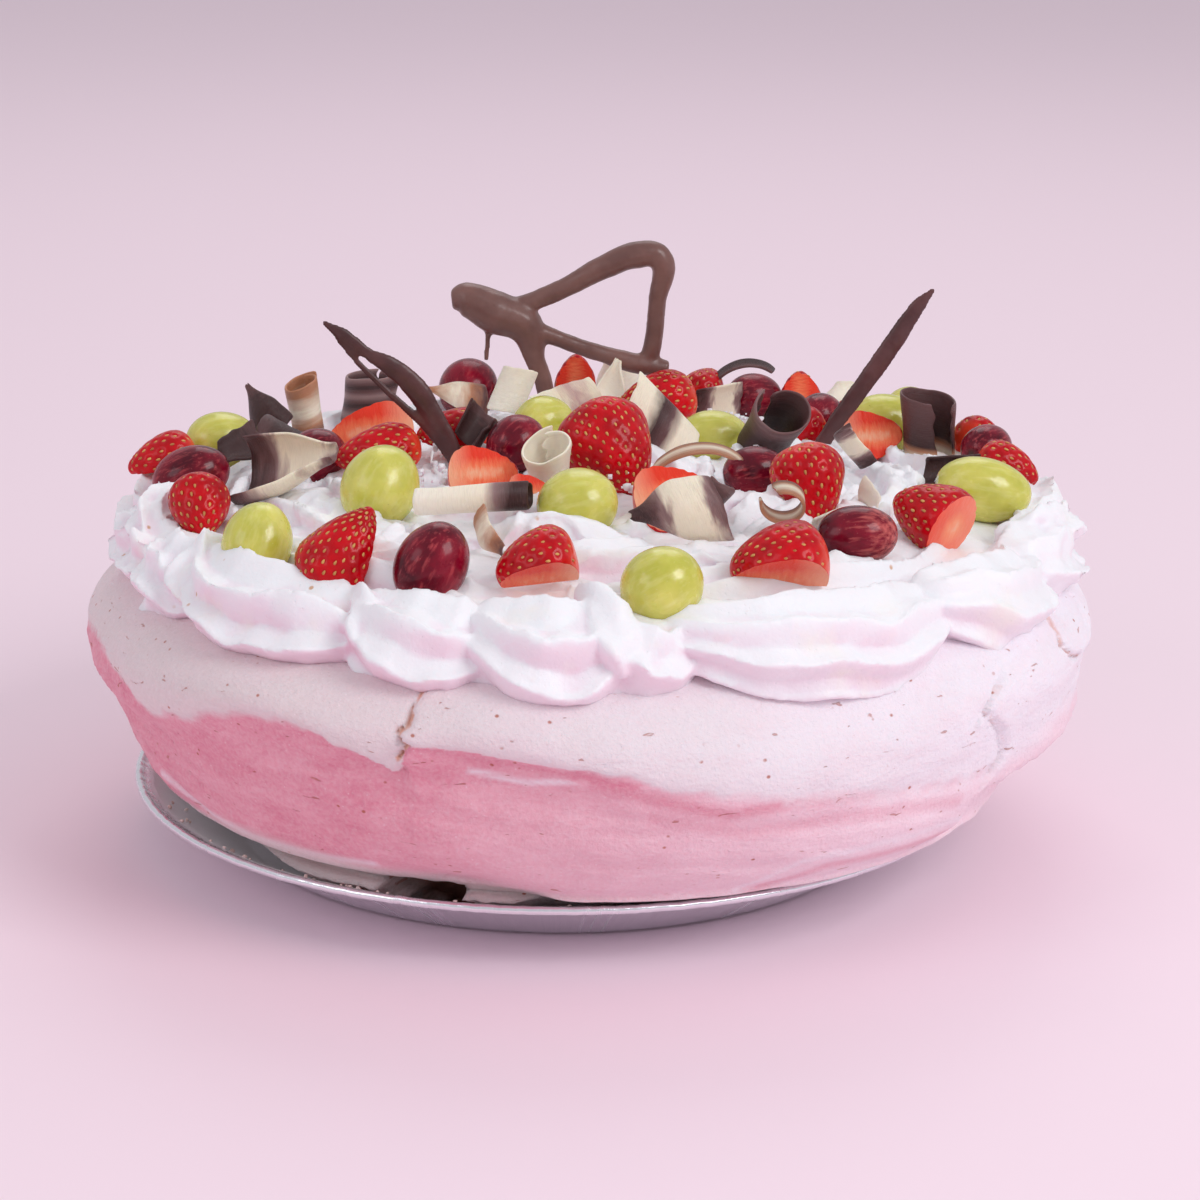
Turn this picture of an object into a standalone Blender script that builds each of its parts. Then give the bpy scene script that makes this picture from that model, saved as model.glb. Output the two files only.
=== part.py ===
"""A large round pavlova in a foil tray, topped with piped cream, fruit and chocolate.

Run with blender --background --python part.py. Lengths are metres with +Z up. The origin is the
centre of the tray's flat base, and the front of the cake faces -Y. Bearings are degrees about +Z.
"""
import math

import bmesh
import bpy
from mathutils import Matrix, Vector

MM = 0.001
WELD = 0.00001
GAP = 0.35 * MM

# Foil tray
RIM_RADIUS = 127.0 * MM
BASE_RADIUS = 96.0 * MM
TRAY_DEPTH = 20.2 * MM
FOIL = 0.5 * MM
BEAD_RADIUS = 1.2 * MM
LIP_WIDTH = 4.0 * MM
TRAY_STEPS = 36

# Meringue, whose centre drifts from its foot to its body
FOOT_CENTRE = 5.5 * MM
BODY_CENTRE = 10.0 * MM
FOOT_FORWARD = 2.5 * MM
DRIFT_START = 12.0 * MM
DRIFT_END = 32.0 * MM
MERINGUE_STEPS = 56
MERINGUE_TOP = 87.0 * MM
LEDGE = 58.0 * MM
LEDGE_OVERHANG = 3.2 * MM
MERINGUE_PROFILE = (  # radius and height from the foot's centre to the top's centre
    (0.0, 0.8), (84.0, 0.8), (97.0, 7.0), (113.5, 18.6), (121.0, 21.4), (128.5, 25.0), (135.5, 31.0),
    (141.0, 40.0), (144.0, 50.0), (145.0, 57.4), (146.2, 58.6), (147.6, 64.0), (147.0, 71.0),
    (143.5, 77.5), (137.0, 82.5), (126.0, 86.0), (0.0, 87.0),
)
LEDGE_BUMPS = (  # bearing, half width in degrees and rise in millimetres
    (-127.0, 13.0, 13.0), (-101.0, 11.0, 10.0), (-68.0, 15.0, -6.0), (-20.0, 22.0, 5.0),
    (32.0, 20.0, -4.0), (88.0, 26.0, 6.0), (146.0, 18.0, -5.0),
)
SIDE_DENTS = (  # bearing, half width, height, half height and push outwards in millimetres
    (-168.0, 34.0, 40.0, 15.0, -4.2), (-4.0, 38.0, 68.0, 13.0, -2.3), (-16.0, 17.0, 33.0, 8.0, -8.0),
)

# Whipped cream
FIELD_RADIUS = 122.0 * MM
FIELD_EDGE = 101.0 * MM
FIELD_CROWN = 10.0 * MM
FIELD_STEPS = 32
FIELD_RIPPLE = 1.4 * MM
BORDER_CUSPS = (
    -180.0, -150.0, -121.0, -106.0, -90.0, -83.0, -47.0, -24.0, -4.0,
    16.0, 36.0, 56.0, 78.0, 98.0, 118.0, 139.0, 160.0,
)
CUSP_RADIUS = 121.5 * MM
CUSP_HEIGHT = 97.0 * MM
BELLY_RADIUS = 129.0 * MM
RIGHT_SPILL = 3.0 * MM
BELLY_HEIGHT = 87.6 * MM
ROPE_THIN = 7.5 * MM
ROPE_THICK = 16.5 * MM
ROPE_LOBES = 6
ROPE_RINGS = 6
ROPE_GROOVE = 0.78
ROPE_TWIST = math.radians(-30.0)
TUCK = 5.0

# Chocolate
SHEET = 1.3 * MM
LOOP_PLANE = 98.0 * MM
STRAND_STEP = 0.4 * MM
LEFT_BLADE_PLANE = 12.0 * MM
RIGHT_BLADE_PLANE = 45.0 * MM

# Fruit and curls are placed in millimetres: x and y, then how far the middle lies above the cream
# field. Directions are a bearing and an elevation in degrees, and spin is about that direction.
GREEN_GRAPES = (  # x, y, lift, length, width, bearing, elevation
    (-83, -72, 4, 23, 19.5, 60, 60), (-51, -39, 6, 25, 22, 40, 55), (5, -56, 4, 23, 21, 0, 15),
    (27, -117, 5, 22.5, 21, 0, 30), (47, 38, 1, 23, 18, 5, 0), (103, 72, 6, 24, 19, 5, 0),
    (124, -12, 5, 29, 19, 0, -10), (-104, 40, 7, 22, 18, 15, 5), (-5, 50, 3, 20, 17, 35, 0),
    (113, 88, 7, 19, 16, 130, 10),
)
RED_GRAPES = (
    (-109, 0, 5, 24, 18, 0, 25), (-73, 15, 3, 19, 17, 20, 20), (-30, 110, 8, 21, 19.5, 70, 30),
    (-13, 7, 5, 18.5, 17, 30, 30), (-34, -101, 5, 24, 19.5, 10, 60), (57, -11, 2, 19, 16, 0, 10),
    (82, -70, 4, 23, 17, 0, 5), (63, 103, 7, 19, 16, 20, 0), (83, 80, 5, 17, 15, 60, 0),
    (131, 37, 7, 18, 15, 50, 0),
)
STRAWBERRIES = (  # x, y, lift, length, width, cut, bearing, elevation, spin
    (-119, 23, 5, 23, 18, "half", 190, -12, 0), (-103, -32, 4, 22, 19, "whole", -80, -35, 0),
    (-56, 29, 6, 28, 20, "half", 184, -6, 125), (-53, 7, 4, 28, 19, "half", 184, -8, -25),
    (-60, -90, 5, 27, 30, "half", 0, 68, 38), (-5, -104, 4, 24, 25, "wedge", 184, -6, -8),
    (-23, -25, 4, 22, 19, "half", 6, 4, -125), (14, -12, 8, 34, 30, "whole", -55, -38, 0),
    (5, 116, 9, 18, 15, "slice", 90, 76, 0), (32, 82, 6, 28, 21, "whole", 184, -8, 0),
    (47, 111, 8, 18, 16, "whole", 60, 30, 0), (31, -49, 4, 25, 22, "half", 16, 10, -130),
    (71, -35, 7, 27, 23, "whole", -65, -62, 0), (60, -99, 4, 29, 28, "wedge", 178, 0, -4),
    (106, -50, 5, 27, 23, "stub", 150, 20, 0), (96, 50, 4, 21, 18, "half", 6, 4, -112),
    (76, 57, 3, 17, 15, "whole", 200, -10, 0), (78, 101, 9, 17, 15, "slice", 90, 62, 0),
    (95, 90, 5, 16, 14, "whole", 40, 10, 0), (131, 59, 5, 18, 16, "whole", 60, -10, 0),
    (134, 16, 6, 21, 17, "whole", -20, -15, 0), (-31, 27, 4, 25, 19, "half", 176, 0, -10),
    (-9, -42, 2, 15, 15, "half", 4, 6, -120),
)
CURLS = (  # x, y, lift, length, radius, turns, colour, bearing, elevation, spin
    (-94, 61, 10, 13, 9, 0.42, "dark", 100, 25, 200), (-80, 72, 8, 18, 5, 0.92, "white", 80, 78, 0),
    (-79, -12, 7, 24, 10, 0.5, "marbled", -8, 10, 35),
    (-61, 93, 9, 15, 7.5, 0.8, "marbled", 10, 70, 60),
    (-24, -60, 6, 32, 4.2, 0.9, "white", 4, 5, 0), (-3, -27, 8, 15, 5.5, 0.92, "white", 110, 62, 0),
    (3, 70, 7, 20, 9, 0.3, "white", 20, 25, 90), (31, 21, 9, 22, 11, 0.3, "marbled", 120, 58, 60),
    (32, -77, 7, 22, 10, 0.42, "marbled", 40, 35, 100), (67, 22, 9, 17, 8, 0.9, "dark", -80, 20, 30),
    (114, 49, 10, 20, 7, 0.85, "dark", -110, 72, 30),
)


def clear_scene():
    for obj in list(bpy.data.objects):
        bpy.data.objects.remove(obj, do_unlink=True)


def new_collection(name):
    collection = bpy.data.collections.new(name)
    bpy.context.scene.collection.children.link(collection)
    return collection


def principled(name, colour, roughness, metallic=0.0, subsurface=0.0):
    material = bpy.data.materials.new(name)
    material.use_nodes = True
    shader = material.node_tree.nodes["Principled BSDF"]
    shader.inputs["Base Color"].default_value = (*colour, 1.0)
    shader.inputs["Roughness"].default_value = roughness
    shader.inputs["Metallic"].default_value = metallic
    shader.inputs["Subsurface Weight"].default_value = subsurface
    material.diffuse_color = (*colour, 1.0)
    return material


def add_object(name, mesh, material, collection):
    obj = bpy.data.objects.new(name, mesh)
    if material is not None:
        mesh.materials.append(material)
    collection.objects.link(obj)
    return obj


def add_bmesh(name, shape, material, collection):
    mesh = bpy.data.meshes.new(name)
    shape.to_mesh(mesh)
    shape.free()
    mesh.shade_smooth()
    mesh.set_sharp_from_angle(angle=math.radians(40.0))
    return add_object(name, mesh, material, collection)


def evaluated_mesh(obj):
    graph = bpy.context.evaluated_depsgraph_get()
    return bpy.data.meshes.new_from_object(obj.evaluated_get(graph))


def mark_cutter(obj):
    obj.hide_render = True
    obj.display_type = "WIRE"
    return obj


def boolean(obj, operation, name, target=None, collection=None, solver="EXACT"):
    modifier = obj.modifiers.new(name, "BOOLEAN")
    modifier.operation = operation
    modifier.solver = solver
    if collection is not None:
        modifier.operand_type = "COLLECTION"
        modifier.collection = collection
    else:
        modifier.object = target
    return modifier


def smooth_step(low, high, value):
    share = min(max((value - low) / (high - low), 0.0), 1.0)
    return share * share * (3.0 - 2.0 * share)


def bump(bearing, centre, half_width):
    offset = (bearing - centre + 180.0) % 360.0 - 180.0
    return math.exp(-((offset / half_width) ** 2))


def ring_point(radius, bearing, height):
    angle = math.radians(bearing)
    return Vector((BODY_CENTRE + radius * math.cos(angle), radius * math.sin(angle), height))


def turned(profile, steps):
    """Spin (radius, height) points about Z into a closed shape."""
    shape = bmesh.new()
    points = [shape.verts.new((radius, 0.0, height)) for radius, height in profile]
    edges = [shape.edges.new(pair) for pair in zip(points, points[1:])]
    bmesh.ops.spin(
        shape, geom=points + edges, cent=(0, 0, 0), axis=(0, 0, 1), angle=math.tau, steps=steps,
        use_merge=True,
    )
    bmesh.ops.remove_doubles(shape, verts=shape.verts, dist=WELD)
    bmesh.ops.recalc_face_normals(shape, faces=shape.faces)
    return shape


def aim(x, y, z, bearing, elevation, spin=0.0):
    """Place a shape whose own +Z then points along the bearing and elevation."""
    tilt = Matrix.Rotation(math.radians(90.0 - elevation), 4, "Y")
    turn = Matrix.Rotation(math.radians(bearing), 4, "Z")
    roll = Matrix.Rotation(math.radians(spin), 4, "Z")
    return Matrix.Translation((x, y, z)) @ turn @ tilt @ roll


def field_height(x, y):
    """Height of the cream inside the piped border."""
    radius = min(math.hypot(x - BODY_CENTRE, y), FIELD_RADIUS)
    return FIELD_EDGE + FIELD_CROWN * (1.0 - (radius / FIELD_RADIUS) ** 2)


# --- foil tray ---------------------------------------------------------------------------------


def build_tray(material, collection):
    """A pressed foil plate: flat base, sloping wall, narrow lip and a rolled bead."""
    bead_centre = (RIM_RADIUS - BEAD_RADIUS, TRAY_DEPTH - BEAD_RADIUS)
    lip_start = RIM_RADIUS - LIP_WIDTH - BEAD_RADIUS
    lip_top = TRAY_DEPTH - 1.6 * MM
    profile = [
        (0.0, FOIL), (BASE_RADIUS - 2.0 * MM, FOIL), (BASE_RADIUS + 0.5 * MM, 1.5 * MM),
        (lip_start - 1.0 * MM, lip_top - 1.0 * MM), (lip_start, lip_top),
    ]
    for degrees in (150.0, 85.0, 20.0, -45.0, -110.0):
        angle = math.radians(degrees)
        across = bead_centre[0] + BEAD_RADIUS * math.cos(angle)
        up = bead_centre[1] + BEAD_RADIUS * math.sin(angle)
        profile.append((across, up))
    profile += [
        (lip_start + 0.4 * MM, lip_top - FOIL), (lip_start - 0.5 * MM, lip_top - 1.5 * MM),
        (BASE_RADIUS + 1.0 * MM, 1.0 * MM), (BASE_RADIUS - 1.0 * MM, 0.0), (0.0, 0.0),
    ]
    return add_bmesh("foil_tray", turned(profile, TRAY_STEPS), material, collection)


# --- meringue ----------------------------------------------------------------------------------


def centre_at(height):
    return FOOT_CENTRE + (BODY_CENTRE - FOOT_CENTRE) * smooth_step(DRIFT_START, DRIFT_END, height)


def ledge_height(bearing):
    rise = sum(bump(bearing, centre, width) * lift for centre, width, lift in LEDGE_BUMPS)
    return LEDGE + rise * MM


def overhang(bearing):
    """How far the baked cap stands out over the softer side below its ledge."""
    return LEDGE_OVERHANG * (0.35 + 0.65 * bump(bearing, -108.0, 45.0))


def unevenness(bearing, height):
    """Slow waves round the side, none where the foot sits in the tray."""
    angle = math.radians(bearing)
    wave = 1.3 * math.sin(2.0 * angle + 0.6) + 1.0 * math.sin(3.0 * angle + 1.9)
    wave += 0.8 * math.sin(7.0 * angle + height / (14.0 * MM))
    share = smooth_step(20.0 * MM, 36.0 * MM, height)
    share *= 1.0 - smooth_step(80.0 * MM, MERINGUE_TOP, height)
    dents = 0.0
    for centre, width, level, reach, push in SIDE_DENTS:
        dents += push * bump(bearing, centre, width) * math.exp(-(((height / MM - level) / reach) ** 2))
    return (wave * share + dents * smooth_step(20.0 * MM, 27.0 * MM, height)) * MM


def shape_meringue(vertex):
    """Move one vertex of the turned profile to its place on the baked shell."""
    radius = vertex.co.xy.length
    bearing = math.degrees(math.atan2(vertex.co.y, vertex.co.x))
    height = vertex.co.z
    ledge = ledge_height(bearing)
    if height > LEDGE:
        moved = ledge + (height - LEDGE) * (MERINGUE_TOP - ledge) / (MERINGUE_TOP - LEDGE)
        fade = 1.0 - smooth_step(64.0 * MM, 82.0 * MM, height)
        radius += overhang(bearing) * fade if radius > 0.0 else 0.0
    else:
        share = smooth_step(24.0 * MM, LEDGE, height)
        moved = height + (ledge - LEDGE) * share
    if radius > 0.0:
        radius += unevenness(bearing, moved)
    angle = math.radians(bearing)
    forward = FOOT_FORWARD * (1.0 - smooth_step(DRIFT_START, DRIFT_END, moved))
    x = centre_at(moved) + radius * math.cos(angle)
    y = radius * math.sin(angle) - forward
    vertex.co = (x, y, moved)


def meringue_shape():
    profile = [(radius * MM, height * MM) for radius, height in MERINGUE_PROFILE]
    shape = turned(profile, MERINGUE_STEPS)
    for vertex in shape.verts:
        shape_meringue(vertex)
    bmesh.ops.triangulate(shape, faces=shape.faces)
    return shape


def tube(name, points, collection, material=None, squash=None):
    """A tapering tube through (point, radius) pairs, as a closed mesh."""
    curve = bpy.data.curves.new(name, "CURVE")
    curve.dimensions = "3D"
    curve.bevel_depth = MM
    curve.bevel_resolution = 1
    curve.resolution_u = 2
    curve.use_fill_caps = True
    spline = curve.splines.new("BEZIER")
    spline.bezier_points.add(len(points) - 1)
    for knot, (place, radius) in zip(spline.bezier_points, points):
        knot.co = place
        knot.radius = radius / MM
        knot.handle_left_type = "AUTO"
        knot.handle_right_type = "AUTO"
    guide = add_object(name, curve, None, collection)
    shape = bmesh.new()
    shape.from_mesh(evaluated_mesh(guide))
    bpy.data.objects.remove(guide)
    bmesh.ops.remove_doubles(shape, verts=shape.verts, dist=WELD)
    bmesh.ops.recalc_face_normals(shape, faces=shape.faces)
    if squash is not None:
        plane, share = squash
        for vertex in shape.verts:
            vertex.co.y = plane + (vertex.co.y - plane) * share
    return add_bmesh(name, shape, material, collection)


def side_point(bearing, height, radius):
    """A point by the meringue's side, in millimetres from the body's centre."""
    return ring_point(radius * MM, bearing, height * MM)


def crack(name, knots, width, collection):
    """A cutter that runs along a break in the crust through (bearing, height, radius) knots."""
    points = [(side_point(*knot), width * share * MM) for knot, share in knots]
    return mark_cutter(tube(name, points, collection))


def meringue_cutters(collection):
    """The breaks in the crust and the hollow under the front lip."""
    crack(
        "crack_front",
        (((-108, 86, 132), 0.9), ((-109, 79, 148), 1.3), ((-111, 72, 154), 1.5),
         ((-110, 65, 154), 1.1), ((-109, 56, 152), 0.6), ((-111, 44, 149), 0.3)),
        2.0, collection,
    )
    crack(
        "crack_right",
        (((-29, 90, 126), 1.0), ((-31, 84, 143), 1.4), ((-27, 76, 152), 1.5), ((-23, 68, 155), 1.6),
         ((-19, 60, 155), 0.9)),
        2.2, collection,
    )
    crack(
        "crack_corner",
        (((-52, 67, 154), 0.6), ((-54, 57, 152), 1.3), ((-48, 50, 151), 1.6), ((-41, 52, 152), 1.7),
         ((-36, 57, 154), 0.7)),
        2.0, collection,
    )
    hollow = bmesh.new()
    bmesh.ops.create_icosphere(hollow, subdivisions=2, radius=1.0)
    bmesh.ops.scale(hollow, vec=Vector((21.0, 11.0, 8.0)) * MM, verts=hollow.verts)
    bmesh.ops.rotate(hollow, matrix=Matrix.Rotation(math.radians(-18.0), 3, "Z"), verts=hollow.verts)
    bmesh.ops.translate(hollow, vec=side_point(-111, 15.5, 117), verts=hollow.verts)
    mark_cutter(add_bmesh("front_hollow", hollow, None, collection))


def build_meringue(material, collection, cutters):
    body = add_bmesh("meringue", meringue_shape(), material, collection)
    meringue_cutters(cutters)
    boolean(body, "DIFFERENCE", "Cracks", collection=cutters)
    return body


# --- whipped cream -----------------------------------------------------------------------------


def cream_field(material, collection):
    """The low dome that fills the border, with swirled ripples left by the nozzle."""
    rings = (0.0, 0.24, 0.45, 0.64, 0.82, 1.0)
    profile = [(share * FIELD_RADIUS, FIELD_EDGE + FIELD_CROWN * (1.0 - share**2)) for share in rings]
    profile += [(127.0 * MM, 95.0 * MM), (128.0 * MM, 80.0 * MM), (0.0, 80.0 * MM)]
    shape = turned(profile, FIELD_STEPS)
    for vertex in shape.verts:
        radius = vertex.co.xy.length
        if 0.0 < radius < FIELD_RADIUS and vertex.co.z > FIELD_EDGE:
            angle = math.atan2(vertex.co.y, vertex.co.x)
            vertex.co.z += FIELD_RIPPLE * math.sin(5.0 * angle + radius / (11.0 * MM))
        vertex.co.x += BODY_CENTRE
    return add_bmesh("whipped_cream", shape, material, collection)


def rope_path(start, end, share):
    """One swag of the border starts high, falls outwards, and flattens before the next one."""
    bearing = start + (end + TUCK - start) * share
    inside = min(max(share, 0.0), 1.0)
    belly = max(math.sin(math.pi * inside**0.8), 0.0) ** 0.7
    radius = CUSP_RADIUS + (BELLY_RADIUS - CUSP_RADIUS) * belly
    radius += RIGHT_SPILL * bump(bearing, -4.0, 45.0)
    rise = (1.0 - inside) ** 2.4 + 0.14 * smooth_step(0.7, 1.0, inside)
    height = BELLY_HEIGHT + (CUSP_HEIGHT - BELLY_HEIGHT) * rise
    return ring_point(radius, bearing, height)


def star_section(radius, turn):
    """Points round a star nozzle's section, crest and groove in turn."""
    count = 2 * ROPE_LOBES
    for index in range(count):
        reach = radius if index % 2 == 0 else radius * ROPE_GROOVE
        angle = turn + math.tau * index / count
        yield reach * math.cos(angle), reach * math.sin(angle)


def piped_swag(name, start, end, collection):
    """A fluted rope of cream, thin at its ends and twisted a little along its length."""
    shape = bmesh.new()
    rings = []
    for index in range(ROPE_RINGS):
        share = index / (ROPE_RINGS - 1)
        place = rope_path(start, end, share)
        ahead = rope_path(start, end, min(share + 0.01, 1.0))
        behind = rope_path(start, end, max(share - 0.01, 0.0))
        along = ahead - behind
        outward = Vector((place.x - BODY_CENTRE, place.y, 0.0)).normalized()
        up = along.cross(outward).normalized()
        swell = math.sin(math.pi * min(max(share, 0.02), 0.98) ** 0.75)
        radius = ROPE_THIN + (ROPE_THICK - ROPE_THIN) * swell
        ring = []
        for across, rise in star_section(radius, ROPE_TWIST * share):
            ring.append(shape.verts.new(place + outward * across + up * rise))
        rings.append(ring)
    for ring, following in zip(rings, rings[1:]):
        for index, vertex in enumerate(ring):
            beside = (index + 1) % len(ring)
            shape.faces.new((vertex, ring[beside], following[beside], following[index]))
    shape.faces.new(rings[0])
    shape.faces.new(rings[-1])
    bmesh.ops.recalc_face_normals(shape, faces=shape.faces)
    return add_bmesh(name, shape, None, collection)


def grown(shape, distance):
    """Move every face outwards by a distance."""
    shape.normal_update()
    offsets = [vertex.normal * distance * vertex.calc_shell_factor() for vertex in shape.verts]
    for vertex, offset in zip(shape.verts, offsets):
        vertex.co += offset
    return shape


def pocket(obj, collection):
    """The room that a topping takes up in the cream, a little larger than the topping."""
    shape = bmesh.new()
    shape.from_mesh(evaluated_mesh(obj))
    cutter = add_bmesh("pocket_" + obj.name, grown(shape, GAP), None, collection)
    cutter.matrix_world = obj.matrix_world
    return mark_cutter(cutter)


def build_cream(material, collection, ropes, toppings, pockets, workshop):
    for topping in toppings:
        pocket(topping, pockets)
    cream = cream_field(material, collection)
    for index, start in enumerate(BORDER_CUSPS):
        last = index == len(BORDER_CUSPS) - 1
        end = BORDER_CUSPS[0] + 360.0 if last else BORDER_CUSPS[index + 1]
        mark_cutter(piped_swag(f"swag_{index + 1:02d}", start, end, ropes))
    boolean(cream, "UNION", "Border", collection=ropes)
    seat = mark_cutter(add_bmesh("meringue_seat", grown(meringue_shape(), GAP), None, workshop))
    boolean(cream, "DIFFERENCE", "Seat", target=seat)
    boolean(cream, "DIFFERENCE", "Pockets", collection=pockets, solver="MANIFOLD")
    return cream


# --- fruit -------------------------------------------------------------------------------------


def topping_matrix(x, y, lift, bearing, elevation, spin=0.0):
    height = field_height(x * MM, y * MM) + lift * MM
    return aim(x * MM, y * MM, height, bearing, elevation, spin)


def grape(name, length, width, material, collection):
    shape = bmesh.new()
    bmesh.ops.create_icosphere(shape, subdivisions=2, radius=0.5 * MM)
    bmesh.ops.scale(shape, vec=(width, width, length), verts=shape.verts)
    return add_bmesh(name, shape, material, collection)


def build_grapes(prefix, rows, material, collection):
    grapes = []
    for index, (x, y, lift, length, width, bearing, elevation) in enumerate(rows, 1):
        berry = grape(f"{prefix}_{index:02d}", length, width, material, collection)
        berry.matrix_world = topping_matrix(x, y, lift, bearing, elevation)
        grapes.append(berry)
    return grapes


def slice_off(shape, point, normal):
    """Remove what lies beyond a plane and close the cut."""
    geometry = shape.verts[:] + shape.edges[:] + shape.faces[:]
    cut = bmesh.ops.bisect_plane(
        shape, geom=geometry, plane_co=point, plane_no=normal, clear_outer=True, dist=WELD
    )
    rim = [item for item in cut["geom_cut"] if isinstance(item, bmesh.types.BMEdge)]
    bmesh.ops.edgenet_fill(shape, edges=rim)


def strawberry(name, length, width, cut, material, collection):
    """A berry whose tip points along its own +Z, whole or cut so that its skin is on the -X side."""
    shape = bmesh.new()
    bmesh.ops.create_uvsphere(shape, u_segments=8, v_segments=6, radius=1.0)
    for vertex in shape.verts:
        towards_tip = 0.5 + 0.5 * vertex.co.z
        fullness = 1.16 - 0.5 * towards_tip
        vertex.co.x *= fullness * width * 0.5 * MM
        vertex.co.y *= fullness * width * 0.5 * MM
        vertex.co.z *= length * (0.5 if vertex.co.z > 0.0 else 0.42) * MM
    quarter = width * 0.25 * MM
    if cut == "half":
        slice_off(shape, (quarter * 0.3, 0.0, 0.0), (1.0, 0.0, 0.0))
    if cut == "wedge":
        slice_off(shape, (quarter * 0.7, 0.0, 0.0), (0.7, 0.7, 0.0))
        slice_off(shape, (quarter * 0.7, 0.0, 0.0), (0.7, -0.7, 0.0))
    if cut == "slice":
        slice_off(shape, (quarter * 0.8, 0.0, 0.0), (1.0, 0.0, 0.0))
        slice_off(shape, (-quarter * 0.6, 0.0, 0.0), (-1.0, 0.0, 0.0))
    if cut == "stub":
        slice_off(shape, (0.0, 0.0, -length * 0.22 * MM), (0.0, 0.25, -1.0))
    bmesh.ops.recalc_face_normals(shape, faces=shape.faces)
    return add_bmesh(name, shape, material, collection)


def build_strawberries(material, collection):
    berries = []
    for index, row in enumerate(STRAWBERRIES, 1):
        x, y, lift, length, width, cut, bearing, elevation, spin = row
        berry = strawberry(f"strawberry_{index:02d}", length, width, cut, material, collection)
        berry.matrix_world = topping_matrix(x, y, lift, bearing, elevation, spin)
        berries.append(berry)
    return berries


# --- chocolate ---------------------------------------------------------------------------------


def curl(name, length, radius, turns, material, collection):
    """A shaving of chocolate rolled about its own Z, winding inwards past one turn."""
    steps = max(4, round(9 * turns))
    shape = bmesh.new()
    edge = []
    for index in range(steps + 1):
        share = index / steps
        angle = math.tau * turns * (share - 0.5)
        reach = radius * (1.0 - 0.3 * share * turns)
        edge.append(shape.verts.new((reach * math.cos(angle), reach * math.sin(angle), -0.5 * length)))
    edges = [shape.edges.new(pair) for pair in zip(edge, edge[1:])]
    far = bmesh.ops.extrude_edge_only(shape, edges=edges)["geom"]
    far_points = [item for item in far if isinstance(item, bmesh.types.BMVert)]
    bmesh.ops.translate(shape, vec=(0.0, 0.0, length), verts=far_points)
    for vertex in shape.verts:
        slant = 0.25 * vertex.co.y
        vertex.co.z += slant
    centre = sum((vertex.co for vertex in shape.verts), Vector()) / len(shape.verts)
    bmesh.ops.translate(shape, vec=-centre, verts=shape.verts)
    sheet = add_bmesh(name, shape, material, collection)
    wall = sheet.modifiers.new("Wall", "SOLIDIFY")
    wall.thickness = SHEET
    wall.offset = 0.0
    return sheet


def build_curls(materials, collection):
    curls = []
    for index, row in enumerate(CURLS, 1):
        x, y, lift, length, radius, turns, colour, bearing, elevation, spin = row
        size = (length * MM, radius * MM, turns)
        piece = curl(f"chocolate_curl_{index:02d}", *size, materials[colour], collection)
        piece.matrix_world = topping_matrix(x, y, lift, bearing, elevation, spin)
        curls.append(piece)
    return curls


def upright(plane, knots):
    """(x, height, radius) knots in millimetres on an upright plane across the cake."""
    return [((x * MM, plane, height * MM), radius * MM) for x, height, radius in knots]


def join_strands(name, strands, material, collection, workshop, squash=None):
    """Join overlapping tubes into one solid."""
    body = tube(name, strands[0], collection, material, squash=squash)
    for index, strand in enumerate(strands[1:], 1):
        part = tube(f"{name}_strand_{index}", strand, workshop, squash=squash)
        boolean(body, "UNION", f"Strand {index}", target=mark_cutter(part))
    return body


def build_loop(material, collection, workshop):
    """A piped loop with a round head, standing on one leg at the back."""
    head_and_leg = (
        (-35, 141.5, 3), (-31, 141.8, 5.6), (-21, 137.5, 7.2), (-12, 133.5, 6.2), (-8, 122, 3.2),
        (-5, 113, 2.8), (-3, 100, 2.6),
    )
    arch = (
        (-18, 136.5, 4.5), (-8, 141.5, 3.1), (1, 145.5, 3.1), (13, 152, 3.9), (24, 157.2, 4.4),
        (31.5, 156.4, 4.1), (31, 142, 2.9), (29, 124, 3.0), (27.5, 120, 2.4),
    )
    foot = (
        (-14, 134, 4.0), (-7, 131.3, 3.0), (1, 128.3, 2.6), (13, 124.3, 2.7), (26, 120.8, 3.4),
        (35, 119.6, 2.6),
    )
    drip = ((-23.2, 134, 1.4), (-23.6, 127, 0.9), (-24, 121.5, 0.7))
    strands = [
        upright(LOOP_PLANE + step * STRAND_STEP, knots)
        for step, knots in zip((0.0, 1.0, -1.0, 2.0), (head_and_leg, arch, foot, drip))
    ]
    return join_strands("chocolate_loop", strands, material, collection, workshop)


def build_blades(material, collection, workshop):
    """Two flat feathers of chocolate that lean out of the cream."""
    left = (
        upright(LEFT_BLADE_PLANE, ((-70.5, 151, 0.8), (-64.5, 147.2, 2.2), (-57, 141.5, 2.0),
                                   (-50, 137.5, 3.1), (-43, 131, 3.6), (-38, 123, 3.2),
                                   (-33, 114.5, 2.7), (-28, 102, 2.2))),
        upright(LEFT_BLADE_PLANE, ((-66.5, 147, 1.2), (-60, 138.8, 1.2), (-52.5, 131, 1.3),
                                   (-44, 123.3, 1.5), (-37.5, 116.5, 1.8), (-31.5, 108, 1.6))),
    )
    right = (
        upright(RIGHT_BLADE_PLANE, ((114, 156, 0.7), (109.5, 151, 2.4), (103.5, 141.5, 3.1),
                                    (97, 131.5, 3.1), (89.5, 120.5, 2.9), (81.5, 108, 2.6),
                                    (77, 98, 2.2))),
    )
    flat_left = (LEFT_BLADE_PLANE, 0.5)
    flat_right = (RIGHT_BLADE_PLANE, 0.45)
    return [
        join_strands("chocolate_blade_left", left, material, collection, workshop, flat_left),
        join_strands("chocolate_blade_right", right, material, collection, workshop, flat_right),
    ]


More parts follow.
